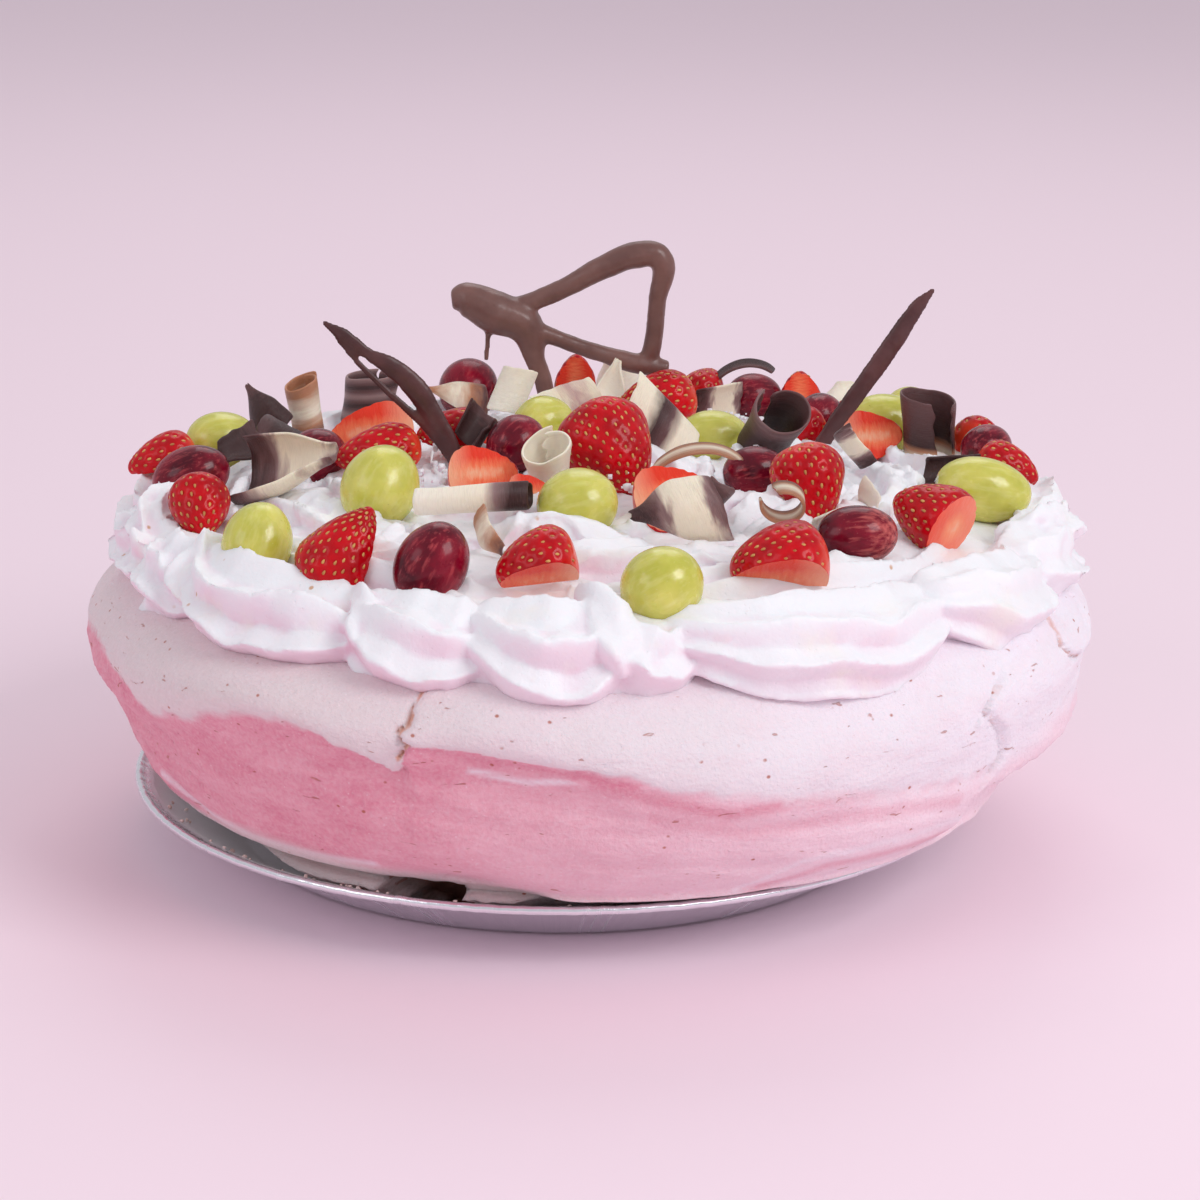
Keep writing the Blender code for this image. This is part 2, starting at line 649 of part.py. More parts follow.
def main():
    clear_scene()
    pavlova = new_collection("pavlova")
    crust_cutters = new_collection("crust_cutters")
    ropes = new_collection("cream_ropes")
    pockets = new_collection("cream_pockets")
    workshop = new_collection("workshop")

    foil = principled("foil", (0.80, 0.81, 0.84), 0.25, metallic=1.0)
    baked = principled("baked_meringue", (0.84, 0.66, 0.62), 0.75, subsurface=0.2)
    cream = principled("whipped_cream", (0.93, 0.90, 0.89), 0.45, subsurface=0.3)
    green = principled("green_grape", (0.48, 0.50, 0.10), 0.25, subsurface=0.2)
    red = principled("red_grape", (0.16, 0.01, 0.03), 0.22)
    berry = principled("strawberry", (0.62, 0.02, 0.02), 0.3)
    brown = principled("milk_chocolate", (0.14, 0.06, 0.05), 0.4)
    shavings = {
        "dark": principled("dark_shaving", (0.05, 0.025, 0.02), 0.4),
        "white": principled("white_shaving", (0.82, 0.72, 0.55), 0.4),
        "marbled": principled("marbled_shaving", (0.45, 0.32, 0.25), 0.4),
    }

    build_tray(foil, pavlova)
    build_meringue(baked, pavlova, crust_cutters)
    toppings = build_grapes("green_grape", GREEN_GRAPES, green, pavlova)
    toppings += build_grapes("red_grape", RED_GRAPES, red, pavlova)
    toppings += build_strawberries(berry, pavlova)
    toppings += build_curls(shavings, pavlova)
    toppings += [build_loop(brown, pavlova, workshop)]
    toppings += build_blades(brown, pavlova, workshop)
    build_cream(cream, pavlova, ropes, toppings, pockets, workshop)


main()
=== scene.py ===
import math
import random

import bmesh
import bpy
from mathutils import Matrix, Vector, noise
from mathutils.kdtree import KDTree


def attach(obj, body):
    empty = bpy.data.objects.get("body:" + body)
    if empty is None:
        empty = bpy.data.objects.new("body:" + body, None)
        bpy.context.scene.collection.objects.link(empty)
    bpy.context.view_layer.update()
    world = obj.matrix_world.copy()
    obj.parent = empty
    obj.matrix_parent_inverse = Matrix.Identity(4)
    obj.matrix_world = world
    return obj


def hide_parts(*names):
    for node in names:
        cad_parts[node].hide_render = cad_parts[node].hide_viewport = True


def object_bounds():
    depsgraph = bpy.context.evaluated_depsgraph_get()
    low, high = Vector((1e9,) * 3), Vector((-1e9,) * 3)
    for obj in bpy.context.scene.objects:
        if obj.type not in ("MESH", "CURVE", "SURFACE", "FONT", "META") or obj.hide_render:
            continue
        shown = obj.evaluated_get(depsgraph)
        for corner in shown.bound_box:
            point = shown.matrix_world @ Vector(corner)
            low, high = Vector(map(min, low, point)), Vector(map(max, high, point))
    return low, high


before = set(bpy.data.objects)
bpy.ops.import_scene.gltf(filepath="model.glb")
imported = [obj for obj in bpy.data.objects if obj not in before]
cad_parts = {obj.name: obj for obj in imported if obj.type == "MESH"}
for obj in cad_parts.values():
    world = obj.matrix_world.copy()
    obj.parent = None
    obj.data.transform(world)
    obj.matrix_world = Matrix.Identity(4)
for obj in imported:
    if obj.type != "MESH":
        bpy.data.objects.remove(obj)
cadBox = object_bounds()
mm = 0.001
print("frame loaded:", len(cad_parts), "solids")


def smoothStep(low, high, value):
    share = min(max((value - low) / (high - low), 0.0), 1.0)
    return share * share * (3.0 - 2.0 * share)


def between(starts, ends, value):
    # 0 before the start, 1 in the middle and 0 again past the end
    return smoothStep(*starts, value) * (1.0 - smoothStep(*ends, value))


def bump(bearing, centre, halfWidth):
    offset = (bearing - centre + 180.0) % 360.0 - 180.0
    return math.exp(-((offset / halfWidth) ** 2))


def along(stops, at):
    # the value between (place, value) stops
    for (lowAt, low), (highAt, high) in zip(stops, stops[1:]):
        if at <= highAt:
            return low + (high - low) * min(max((at - lowAt) / (highAt - lowAt), 0.0), 1.0)
    return stops[-1][1]


def tint(red, green, blue):
    def linear(part):
        part = part / 255.0
        return part / 12.92 if part <= 0.04045 else ((part + 0.055) / 1.055) ** 2.4
    return (linear(red), linear(green), linear(blue), 1.0)


def mappedGrid(shape, columns, rows, place):
    # a flat grid whose points across and along it, both 0 to 1, are laid on a form
    made = bmesh.ops.create_grid(shape, x_segments=columns, y_segments=rows, size=1.0, calc_uvs=True)
    for vertex in made["verts"]:
        vertex.co = place(0.5 + 0.5 * vertex.co.x, 0.5 + 0.5 * vertex.co.y)
    return made["verts"]


def turnedProfile(shape, profile, steps):
    # a grid wrapped round Z, its rows on the profile's (radius, height) points
    def place(around, share):
        radius, height = profile[round(share * (len(profile) - 1))]
        angle = math.tau * around
        return Vector((radius * math.cos(angle), radius * math.sin(angle), height)) * mm
    made = mappedGrid(shape, steps, len(profile) - 1, place)
    bmesh.ops.remove_doubles(shape, verts=made, dist=0.000005)
    bmesh.ops.recalc_face_normals(shape, faces=shape.faces)


def smoothFaces(shape):
    for face in shape.faces:
        face.smooth = True


def smoothPoints(shape, factor):
    bmesh.ops.smooth_vert(shape, verts=shape.verts, factor=factor,
                          use_axis_x=True, use_axis_y=True, use_axis_z=True)


def meshOf(name, shape):
    mesh = bpy.data.meshes.new(name)
    shape.to_mesh(mesh)
    shape.free()
    return mesh


def shapeOf(mesh):
    shape = bmesh.new()
    shape.from_mesh(mesh)
    return shape


def newPiece(name, shape, materials, nodes=()):
    mesh = meshOf(name, shape)
    for material in materials:
        mesh.materials.append(material)
    piece = bpy.data.objects.new(name, mesh)
    bpy.context.scene.collection.objects.link(piece)
    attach(piece, "root")
    if nodes:
        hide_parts(*nodes)
    return piece


def appliedMesh(data, setUp=None):
    # run a modifier on a loose mesh or curve and hand back the result
    helper = bpy.data.objects.new("helper", data)
    bpy.context.scene.collection.objects.link(helper)
    if setUp:
        setUp(helper)
    graph = bpy.context.evaluated_depsgraph_get()
    result = bpy.data.meshes.new_from_object(helper.evaluated_get(graph))
    bpy.data.objects.remove(helper)
    return result


def melted(shape, voxel):
    # parts that run into each other become one skin of even faces
    def remesh(helper):
        modifier = helper.modifiers.new("melt", "REMESH")
        modifier.mode = "VOXEL"
        modifier.voxel_size = voxel * mm
    return shapeOf(appliedMesh(meshOf("loose", shape), remesh))


def makeMaterial(name, constants):
    material = bpy.data.materials.new(name)
    material.use_nodes = True
    tree = material.node_tree
    shader = tree.nodes["Principled BSDF"]
    for socket, value in constants.items():
        shader.inputs[socket].default_value = value
    return material, tree, shader


def objectPoint(tree):
    return tree.nodes.new("ShaderNodeTexCoord").outputs["Object"]


def attributeOf(tree, name, output="Fac"):
    node = tree.nodes.new("ShaderNodeAttribute")
    node.attribute_name = name
    return node.outputs[output]


def noiseOf(tree, point, scale, detail=3.0, roughness=0.55, distortion=0.0):
    node = tree.nodes.new("ShaderNodeTexNoise")
    node.inputs["Scale"].default_value = scale
    node.inputs["Detail"].default_value = detail
    node.inputs["Roughness"].default_value = roughness
    node.inputs["Distortion"].default_value = distortion
    tree.links.new(point, node.inputs["Vector"])
    return node.outputs["Fac"]


def cellsOf(tree, point, scale):
    node = tree.nodes.new("ShaderNodeTexVoronoi")
    node.inputs["Scale"].default_value = scale
    tree.links.new(point, node.inputs["Vector"])
    return node.outputs["Distance"]


def stretched(tree, point, scale):
    node = tree.nodes.new("ShaderNodeMapping")
    node.inputs["Scale"].default_value = scale
    tree.links.new(point, node.inputs["Vector"])
    return node.outputs["Vector"]


def ranged(tree, value, low, high, toLow=0.0, toHigh=1.0):
    node = tree.nodes.new("ShaderNodeMapRange")
    node.inputs["From Min"].default_value = low
    node.inputs["From Max"].default_value = high
    node.inputs["To Min"].default_value = toLow
    node.inputs["To Max"].default_value = toHigh
    tree.links.new(value, node.inputs["Value"])
    return node.outputs["Result"]


def mathOf(tree, operation, first, second):
    node = tree.nodes.new("ShaderNodeMath")
    node.operation = operation
    for socket, value in zip(node.inputs, (first, second)):
        if isinstance(value, (int, float)):
            socket.default_value = value
        else:
            tree.links.new(value, socket)
    return node.outputs["Value"]


def parted(tree, point):
    node = tree.nodes.new("ShaderNodeSeparateXYZ")
    tree.links.new(point, node.inputs["Vector"])
    return node.outputs["X"], node.outputs["Y"], node.outputs["Z"]


def mixed(tree, factor, first, second):
    node = tree.nodes.new("ShaderNodeMix")
    node.data_type = "RGBA"
    for socket, value in ((node.inputs[0], factor), (node.inputs[6], first), (node.inputs[7], second)):
        if isinstance(value, (int, float, tuple)):
            socket.default_value = value
        else:
            tree.links.new(value, socket)
    return node.outputs[2]


def tinged(tree, colour, other, value, low, high, most=1.0):
    # towards the other colour as the value goes from low to high
    return mixed(tree, ranged(tree, value, low, high, 0.0, most), colour, other)


def ramped(tree, value, stops):
    node = tree.nodes.new("ShaderNodeValToRGB")
    while len(node.color_ramp.elements) < len(stops):
        node.color_ramp.elements.new(1.0)
    for element, (place, colour) in zip(node.color_ramp.elements, stops):
        element.position = place
        element.color = colour
    tree.links.new(value, node.inputs["Fac"])
    return node.outputs["Color"]


def paint(tree, shader, colour, roughness=None):
    tree.links.new(colour, shader.inputs["Base Color"])
    if roughness is not None:
        tree.links.new(roughness, shader.inputs["Roughness"])


def bumped(tree, shader, *heights):
    # each height is (value, depth in metres)
    normal = None
    for value, depth in heights:
        node = tree.nodes.new("ShaderNodeBump")
        node.inputs["Distance"].default_value = depth
        tree.links.new(value, node.inputs["Height"])
        if normal is not None:
            tree.links.new(normal, node.inputs["Normal"])
        normal = node.outputs["Normal"]
    tree.links.new(normal, shader.inputs["Normal"])


tray = {
    "rimRadius": 127.0, "baseRadius": 96.0, "depth": 20.2, "foil": 0.4,
    "beadRadius": 1.2, "lipWidth": 4.0, "steps": 760,
    "beadCrinkle": 0.17, "wallCrinkle": 0.22, "beadStart": (122.5, 124.5), "wallStart": (97.0, 108.0),
    "floorRings": (30.0, 62.0), "slopeSteps": 8, "rollSteps": 12, "dustEnd": 121.6, "dustDull": 0.34,
    "silver": tint(250, 251, 255), "shade": tint(220, 221, 228),
}


def foilMaterial():
    material, tree, shader = makeMaterial("brushedFoil", {"Roughness": 0.24, "Sheen Roughness": 0.6})
    point = objectPoint(tree)
    rays = tree.nodes.new("ShaderNodeVectorMath")   # streaks that run out from the middle
    rays.operation = "NORMALIZE"
    tree.links.new(stretched(tree, point, (1.0, 1.0, 0.0)), rays.inputs[0])
    streaks = noiseOf(tree, rays.outputs["Vector"], 210.0, 4.0, 0.7)
    broad = noiseOf(tree, rays.outputs["Vector"], 34.0, 2.0)
    crinkles = noiseOf(tree, point, 420.0, 3.0, 0.6)
    # the sugar-dusted inside shines less than the outside and the bead
    inside = attributeOf(tree, "inside")
    dull = ranged(tree, inside, 0.0, 1.0, 0.0, tray["dustDull"])
    roughness = mathOf(tree, "ADD", ranged(tree, broad, 0.3, 0.7, 0.13, 0.3), dull)
    paint(tree, shader, mixed(tree, streaks, tray["shade"], tray["silver"]), roughness)
    tree.links.new(ranged(tree, inside, 0.0, 1.0, 1.0, 0.06), shader.inputs["Metallic"])
    tree.links.new(ranged(tree, inside, 0.0, 1.0, 0.0, 0.9), shader.inputs["Sheen Weight"])
    bumped(tree, shader, (streaks, 0.00005), (crinkles, 0.00003))
    return material


def trayOutline():
    base, foil, bead = tray["baseRadius"], tray["foil"], tray["beadRadius"]
    centre = (tray["rimRadius"] - bead, tray["depth"] - bead)
    lipStart = tray["rimRadius"] - tray["lipWidth"] - bead
    lipTop = tray["depth"] - 1.6
    rings = [0.0, *tray["floorRings"], base - 5.0]
    inside = [(radius, foil) for radius in rings]
    inside += [(base - 2.0, foil + 0.1), (base - 0.5, foil + 0.8)]
    for step in range(tray["slopeSteps"] + 1):
        share = step / tray["slopeSteps"]
        inside.append((base + 0.6 + (lipStart - base - 2.2) * share, 2.0 + (lipTop - 3.4) * share))
    inside += [(lipStart - 0.7, lipTop - 0.6), (lipStart, lipTop), (lipStart + 1.6, lipTop + 0.1)]
    roll = []
    for step in range(tray["rollSteps"] + 1):
        angle = math.radians(150.0 - 22.0 * step)
        roll.append((centre[0] + bead * math.cos(angle), centre[1] + bead * math.sin(angle)))
    under = [(radius + 0.75 * foil, height - 0.75 * foil) for radius, height in inside[:2:-1]]
    return inside + roll + under + [(radius, 0.0) for radius in reversed(rings)]


def crinkleTray(shape):
    for vertex in shape.verts:
        radius = vertex.co.xy.length
        if radius < tray["baseRadius"] * mm:
            continue
        ray = Vector((vertex.co.x, vertex.co.y, 0.0)) / radius
        onBead = smoothStep(*tray["beadStart"], radius / mm)
        onWall = smoothStep(*tray["wallStart"], radius / mm) * (1.0 - onBead)
        fine = noise.noise(ray * 62.0) * tray["beadCrinkle"]
        pleat = noise.noise(ray * 21.0 + Vector((0, 0, vertex.co.z * 12.0))) * tray["wallCrinkle"]
        rise = noise.noise(ray * 44.0 + Vector((3.0, 0.0, 0.0))) * tray["beadCrinkle"]
        vertex.co += ray * (fine * onBead + pleat * onWall) * mm
        vertex.co.z += rise * onBead * mm


def buildTray():
    shape = bmesh.new()
    turnedProfile(shape, trayOutline(), tray["steps"])
    shape.normal_update()
    layer = shape.verts.layers.float.new("inside")
    for vertex in shape.verts:
        withinBead = smoothStep(tray["dustEnd"] + 0.5, tray["dustEnd"], vertex.co.xy.length / mm)
        vertex[layer] = smoothStep(0.1, 0.4, vertex.normal.z) * withinBead
    crinkleTray(shape)
    smoothFaces(shape)
    newPiece("foilTray", shape, [foilMaterial()], ["foil_tray"])
    print("foil tray made")


meringue = {
    "steps": 760, "footCentre": 5.5, "bodyCentre": 10.0, "footForward": 2.5, "driftStart": 12.0,
    "driftEnd": 32.0, "top": 87.0, "ledge": 58.0, "overhang": 3.2,
    # the top and the underside stay flat inside a radius, a degree of the side is so long, and the side
    # stays a gap inside the solid model's box
    "flatRadius": 60.0, "perDegree": 2.53, "boxGap": 0.1,
    "profile": ((84.0, 0.8), (97.0, 7.0), (113.5, 18.6), (121.0, 21.4), (128.5, 25.0), (135.5, 31.0),
                (141.0, 40.0), (144.0, 50.0), (145.6, 57.0), (147.2, 64.0), (147.0, 71.0), (143.5, 77.5),
                (137.0, 82.5), (126.0, 86.0)),
    "ledgeBumps": ((-127.0, 13.0, 13.0), (-101.0, 11.0, 10.0), (-68.0, 15.0, -6.0), (-20.0, 22.0, 5.0),
                   (32.0, 20.0, -4.0), (88.0, 26.0, 6.0), (146.0, 18.0, -5.0)),
    # bearing, half width, height, half height, push outwards
    "dents": ((-168.0, 34.0, 40.0, 15.0, -4.2), (-4.0, 38.0, 68.0, 13.0, -2.3),
              (-107.0, 9.0, 24.0, 7.0, -7.0)),
    # bearing and height of the cap's lower edge, how soft it is there and how far it stands out
    "capLine": ((-180, 66), (-166, 71), (-159, 71), (-151, 66), (-145, 62), (-137, 66), (-130, 71.5),
                (-124, 73.5), (-119.5, 72), (-116.5, 68), (-113, 64.5), (-111, 61.5), (-110, 64),
                (-109.3, 70.5), (-105, 70.3), (-99, 69), (-93, 66.5), (-87, 65), (-83.5, 61.5), (-79, 59.5),
                (-69, 57), (-60, 54.5), (-48, 50), (-38, 49), (-23, 56), (10, 57), (40, 54), (75, 62),
                (100, 66), (128, 59), (155, 55), (180, 66)),
    "capSoft": ((-180, 5), (-150, 4), (-125, 4.5), (-118, 2), (-111, 0.9), (-95, 1.0), (-85, 2.2), (-75, 5),
                (-60, 10), (-40, 14), (0, 12), (60, 6), (120, 3.5), (180, 5)),
    "capRelief": ((-180, 0.3), (-150, 0.6), (-125, 0.4), (-117, 1.3), (-111, 1.9), (-109, 1.1), (-100, 1.5),
                  (-88, 1.3), (-80, 0.5), (-60, 0.25), (0, 0.2), (60, 0.8), (100, 1.2), (140, 0.6),
                  (180, 0.3)),
    # the broken place at the right, and the hole, groove and ragged edge over the foot: each starts and ends
    # between two bearings
    "chunk": {"start": -39.0, "end": 28.0, "level": 41.5, "cut": 7.5},
    # the hole is also painted dark brown as painted shade
    "hollow": {"start": (-117.0, -114.6), "end": (-105.0, -103.6), "top": (20.5, 23.0), "push": 9.0},
    "groove": {"start": (-154.0, -146.0), "end": (-98.0, -90.0), "level": 22.0, "reach": 2.0, "push": -3.0},
    "onRim": {"start": (-101.0, -92.0), "end": (-40.0, 20.0), "level": 22.1, "reach": 1.3, "push": 3.4},
    # breaks in the crust: (bearing, height) knots, depth, half width, how far the second side stands out and
    # the height that it fades away below
    "fractures": ((((-107.9, 92), (-108.3, 86), (-109.3, 80), (-109.0, 76.5), (-110.2, 73), (-109.2, 70),
                    (-110.3, 66), (-109.9, 62)),
                   2.2, 0.85, 1.9, 62.0),
                  (((-109.9, 62), (-109.2, 54), (-110.4, 47), (-109.6, 40)), 0.35, 0.9, 0.35, 38.0),
                  (((-18, 88), (-22.5, 83), (-24.5, 79), (-25.6, 75), (-23.8, 71), (-20, 68), (-12, 67)),
                   1.5, 0.8, 1.4, 60.0),
                  (((-41, 73), (-43.4, 67), (-40, 60), (-37.6, 54), (-37.2, 49), (-38.8, 44)), 1.0, 1.0,
                   1.6, 42.0),
                  (((-14, 86), (-12, 80), (-15, 74)), 0.8, 0.7, 0.6, 60.0),
                  (((-160, 62), (-155, 52), (-146, 43), (-137, 38)), 0.7, 1.1, -0.5, 30.0),
                  (((-164, 56), (-157, 45), (-149, 36), (-143, 31)), 0.6, 1.0, 0.5, 26.0),
                  (((-152, 60), (-147, 53), (-139, 49), (-128, 48)), 0.45, 1.0, -0.3, 40.0),
                  (((24, 84), (20, 72), (27, 60), (22, 44)), 1.4, 1.0, 1.0, 40.0),
                  (((96, 84), (92, 70), (99, 58), (95, 46)), 1.8, 0.9, 1.3, 42.0),
                  (((158, 80), (150, 68), (157, 57)), 1.2, 1.0, 0.9, 50.0)),
    # soft streaks, darker or paler: knots, half width, strength
    "streaks": ((((-92, 64), (-84, 57), (-76, 51.5), (-69, 54), (-59, 52), (-48, 49), (-39, 48)), 2.2, 0.8),
                (((-84, 51), (-74, 45), (-64, 46), (-54, 44), (-44, 40)), 2.6, 0.45),
                (((-104, 67.4), (-98, 66), (-92, 63.6), (-86, 61.6)), 1.0, 0.8),
                (((-103, 63.6), (-97, 61), (-91, 62.4)), 1.1, -0.9),
                (((-72, 24), (-66, 33), (-56, 34), (-44, 33), (-34, 31)), 1.6, -0.6),
                (((-70, 22), (-62, 29), (-50, 29), (-38, 27)), 2.0, 0.6),
                (((-152, 36), (-143, 31), (-134, 28), (-124, 28.5), (-116, 30)), 1.5, -0.8),
                (((40, 48), (60, 44), (85, 50), (110, 45)), 2.4, 0.6),
                (((130, 44), (150, 40), (172, 46)), 2.0, 0.6)),
    # capBright is painted light: the cap's brighter colour on the right side, where the key light falls; the
    # pale streaks use it too
    "cap": tint(229, 212, 214), "capBright": tint(245, 239, 247), "capBlush": tint(238, 213, 221),
    # flank and flankDeep are painted pink bounce light from the floor, laid over the meringue's own pale
    # colour; the pale flank colour is where the key light washes that out
    "flank": tint(238, 168, 184), "flankDeep": tint(224, 134, 156), "flankLitPale": tint(248, 222, 232),
    "foot": tint(226, 208, 208), "scorch": tint(178, 88, 50), "crust": tint(255, 246, 248),
    # the crack colour is painted shade for the breaks in the crust
    "sugar": tint(255, 240, 246), "crackShade": tint(222, 152, 122), "hollowShade": tint(150, 98, 80),
}


def smoothProfile(knots, spacing):
    # rounded line through the knots, with points about the spacing apart
    points = []
    padded = [knots[0], *knots, knots[-1]]
    for before, start, end, after in zip(padded, padded[1:], padded[2:], padded[3:]):
        span = math.dist(start, end)
        count = max(1, round(span / spacing))
        for step in range(count):
            share = step / count
            place = []
            for a, b, c, d in zip(before, start, end, after):
                place.append(0.5 * (2 * b + (c - a) * share + (2 * a - 5 * b + 4 * c - d) * share ** 2
                                    + (3 * b - a - 3 * c + d) * share ** 3))
            points.append(tuple(place))
    return points + [knots[-1]]


def centreAt(height):
    drift = smoothStep(meringue["driftStart"], meringue["driftEnd"], height)
    return meringue["footCentre"] + (meringue["bodyCentre"] - meringue["footCentre"]) * drift


def ledgeHeight(bearing):
    bumps = (bump(bearing, centre, width) * rise for centre, width, rise in meringue["ledgeBumps"])
    return meringue["ledge"] + sum(bumps)


def unevenness(bearing, height):
    angle = math.radians(bearing)
    wave = 1.3 * math.sin(2.0 * angle + 0.6) + math.sin(3.0 * angle + 1.9)
    wave += 0.8 * math.sin(7.0 * angle + height / 14.0)
    dents = sum(push * bump(bearing, centre, width) * math.exp(-(((height - level) / reach) ** 2))
                for centre, width, level, reach, push in meringue["dents"])
    waves = wave * smoothStep(20.0, 36.0, height) * (1.0 - smoothStep(80.0, 87.0, height))
    return waves + dents * smoothStep(20.0, 27.0, height)


def nearLine(knots, bearing, height):
    # (distance, side, height) of a place on the side from the nearest point of a line of knots
    nearest, side, at = 99.0, 0.0, 0.0
    for (b0, h0), (b1, h1) in zip(knots, knots[1:]):
        ax, ay = (b1 - b0) * meringue["perDegree"], h1 - h0
        px, py = (bearing - b0) * meringue["perDegree"], height - h0
        share = min(max((px * ax + py * ay) / (ax * ax + ay * ay), 0.0), 1.0)
        gap = math.hypot(px - ax * share, py - ay * share)
        if gap < nearest:
            nearest, at = gap, h0 + ay * share
            side = 1.0 if ax * py - ay * px > 0.0 else -1.0
    return nearest, side, at


def isNear(knots, bearing, height):
    bearings, heights = zip(*knots)
    return (min(bearings) - 5 < bearing < max(bearings) + 5
            and min(heights) - 8 < height < max(heights) + 8)


def fractureAt(bearing, height):
    # (push outwards, how deep in a break) at a place on the side
    push, inBreak = 0.0, 0.0
    wobble = noise.noise(Vector((bearing * 0.9, height * 0.5, 4.0))) * 0.55
    for knots, depth, width, step, fade in meringue["fractures"]:
        if not isNear(knots, bearing, height):
            continue
        nearest, side, at = nearLine(knots, bearing + wobble, height)
        strength = smoothStep(fade - 6.0, fade + 6.0, at)
        cut = math.exp(-((nearest / width) ** 2)) * strength
        push -= depth * cut
        push += step * side * strength * math.exp(-((nearest / 6.0) ** 2)) * 0.5
        inBreak = max(inBreak, cut * min(1.0, depth / 2.0))
    return push, inBreak


def streakAt(bearing, height):
    tone = 0.0
    for knots, width, strength in meringue["streaks"]:
        if isNear(knots, bearing, height):
            nearest = nearLine(knots, bearing, height)[0]
            tone += strength * math.exp(-((nearest / width) ** 2))
    return min(max(0.5 + 0.5 * tone, 0.0), 1.0)


def capAt(place, bearing, height):
    # (how far up into the cap, how far its ragged lower edge stands over the side) at a place
    line = along(meringue["capLine"], bearing)
    line += 1.4 * noise.noise(place / 8.0) + 0.7 * noise.noise(place / 2.6)
    soft = along(meringue["capSoft"], bearing)
    under = (1.0 - smoothStep(-0.9, 0.9, height - line)) * (1.0 - smoothStep(1.0, 12.0, line - height))
    return smoothStep(-soft, 0.4 * soft, height - line), along(meringue["capRelief"], bearing) * under


def crustRelief(place, bearing, height, flank):
    # lumps and grain, then the thin sheets and folds of the flank
    body = smoothStep(10.0, 24.0, height)
    rise = body * (0.9 * noise.noise(place / 31.0) + 0.5 * noise.noise(place / 12.0))
    rise += body * (0.14 * noise.noise(place / 4.0) + 0.09 * noise.noise(place / 1.9))
    sheets = Vector((place.x / 26.0, place.y / 26.0, height / 4.6 + bearing / 16.0))
    rise += flank * 0.7 * (noise.noise(sheets) + 0.45 * noise.noise(sheets * 2.1))
    run = bearing * meringue["perDegree"]
    folds = noise.noise(Vector(((run * 0.6 + height) / 2.9, (run - height) / 34.0, 9.0)))
    return rise + 0.8 * bump(bearing, -156.0, 15.0) * between((24.0, 34.0), (60.0, 72.0), height) * folds


def chunkDepth(place, bearing, height):
    # how far the broken place at the right is set back
    chunk = meringue["chunk"]
    level = chunk["level"] + 1.6 * noise.noise(place / 5.0) + 0.05 * (bearing - chunk["start"])
    starts, ends = (chunk["start"] - 3.0, chunk["start"] + 5.0), (chunk["end"] - 20.0, chunk["end"] + 14.0)
    below = (1.0 - smoothStep(level - 4.0, level, height)) * smoothStep(20.0, 30.0, height)
    return chunk["cut"] * between(starts, ends, bearing) * below


def hollowAt(place, bearing, height):
    # 1 in the hole below the front lip
    hollow = meringue["hollow"]
    low = 1.0 - smoothStep(*hollow["top"], height + 1.6 * noise.noise(place / 6.0))
    torn = bearing + 2.4 * noise.noise(Vector((bearing * 0.3, height / 3.0, 7.0))) + 0.25 * (height - 14.0)
    return low * between(hollow["start"], hollow["end"], torn)


def bandPush(band, bearing, height):
    # a groove or a ridge that runs round the side between two bearings
    rise = math.exp(-(((height - band["level"]) / band["reach"]) ** 2))
    return band["push"] * between(band["start"], band["end"], bearing) * rise


def footAt(x, y, height, bearing):
    # the pale base sheet that spreads to the tray's wall at the front left
    share = between((-146.0, -124.0), (-100.0, -94.0), bearing) * between((6.0, 11.0), (19.4, 20.4), height)
    if share <= 0.0:
        return x, y
    place = Vector((x, y, height))
    wall = tray["baseRadius"] + 0.5 + (height - 1.5) * 1.51 - 1.2
    wall -= 2.4 * abs(noise.noise(place / 7.0)) + 0.9 * noise.noise(place / 2.2)
    scale = 1.0 + share * (max(wall / math.hypot(x, y), 1.0) - 1.0)
    return x * scale, y * scale


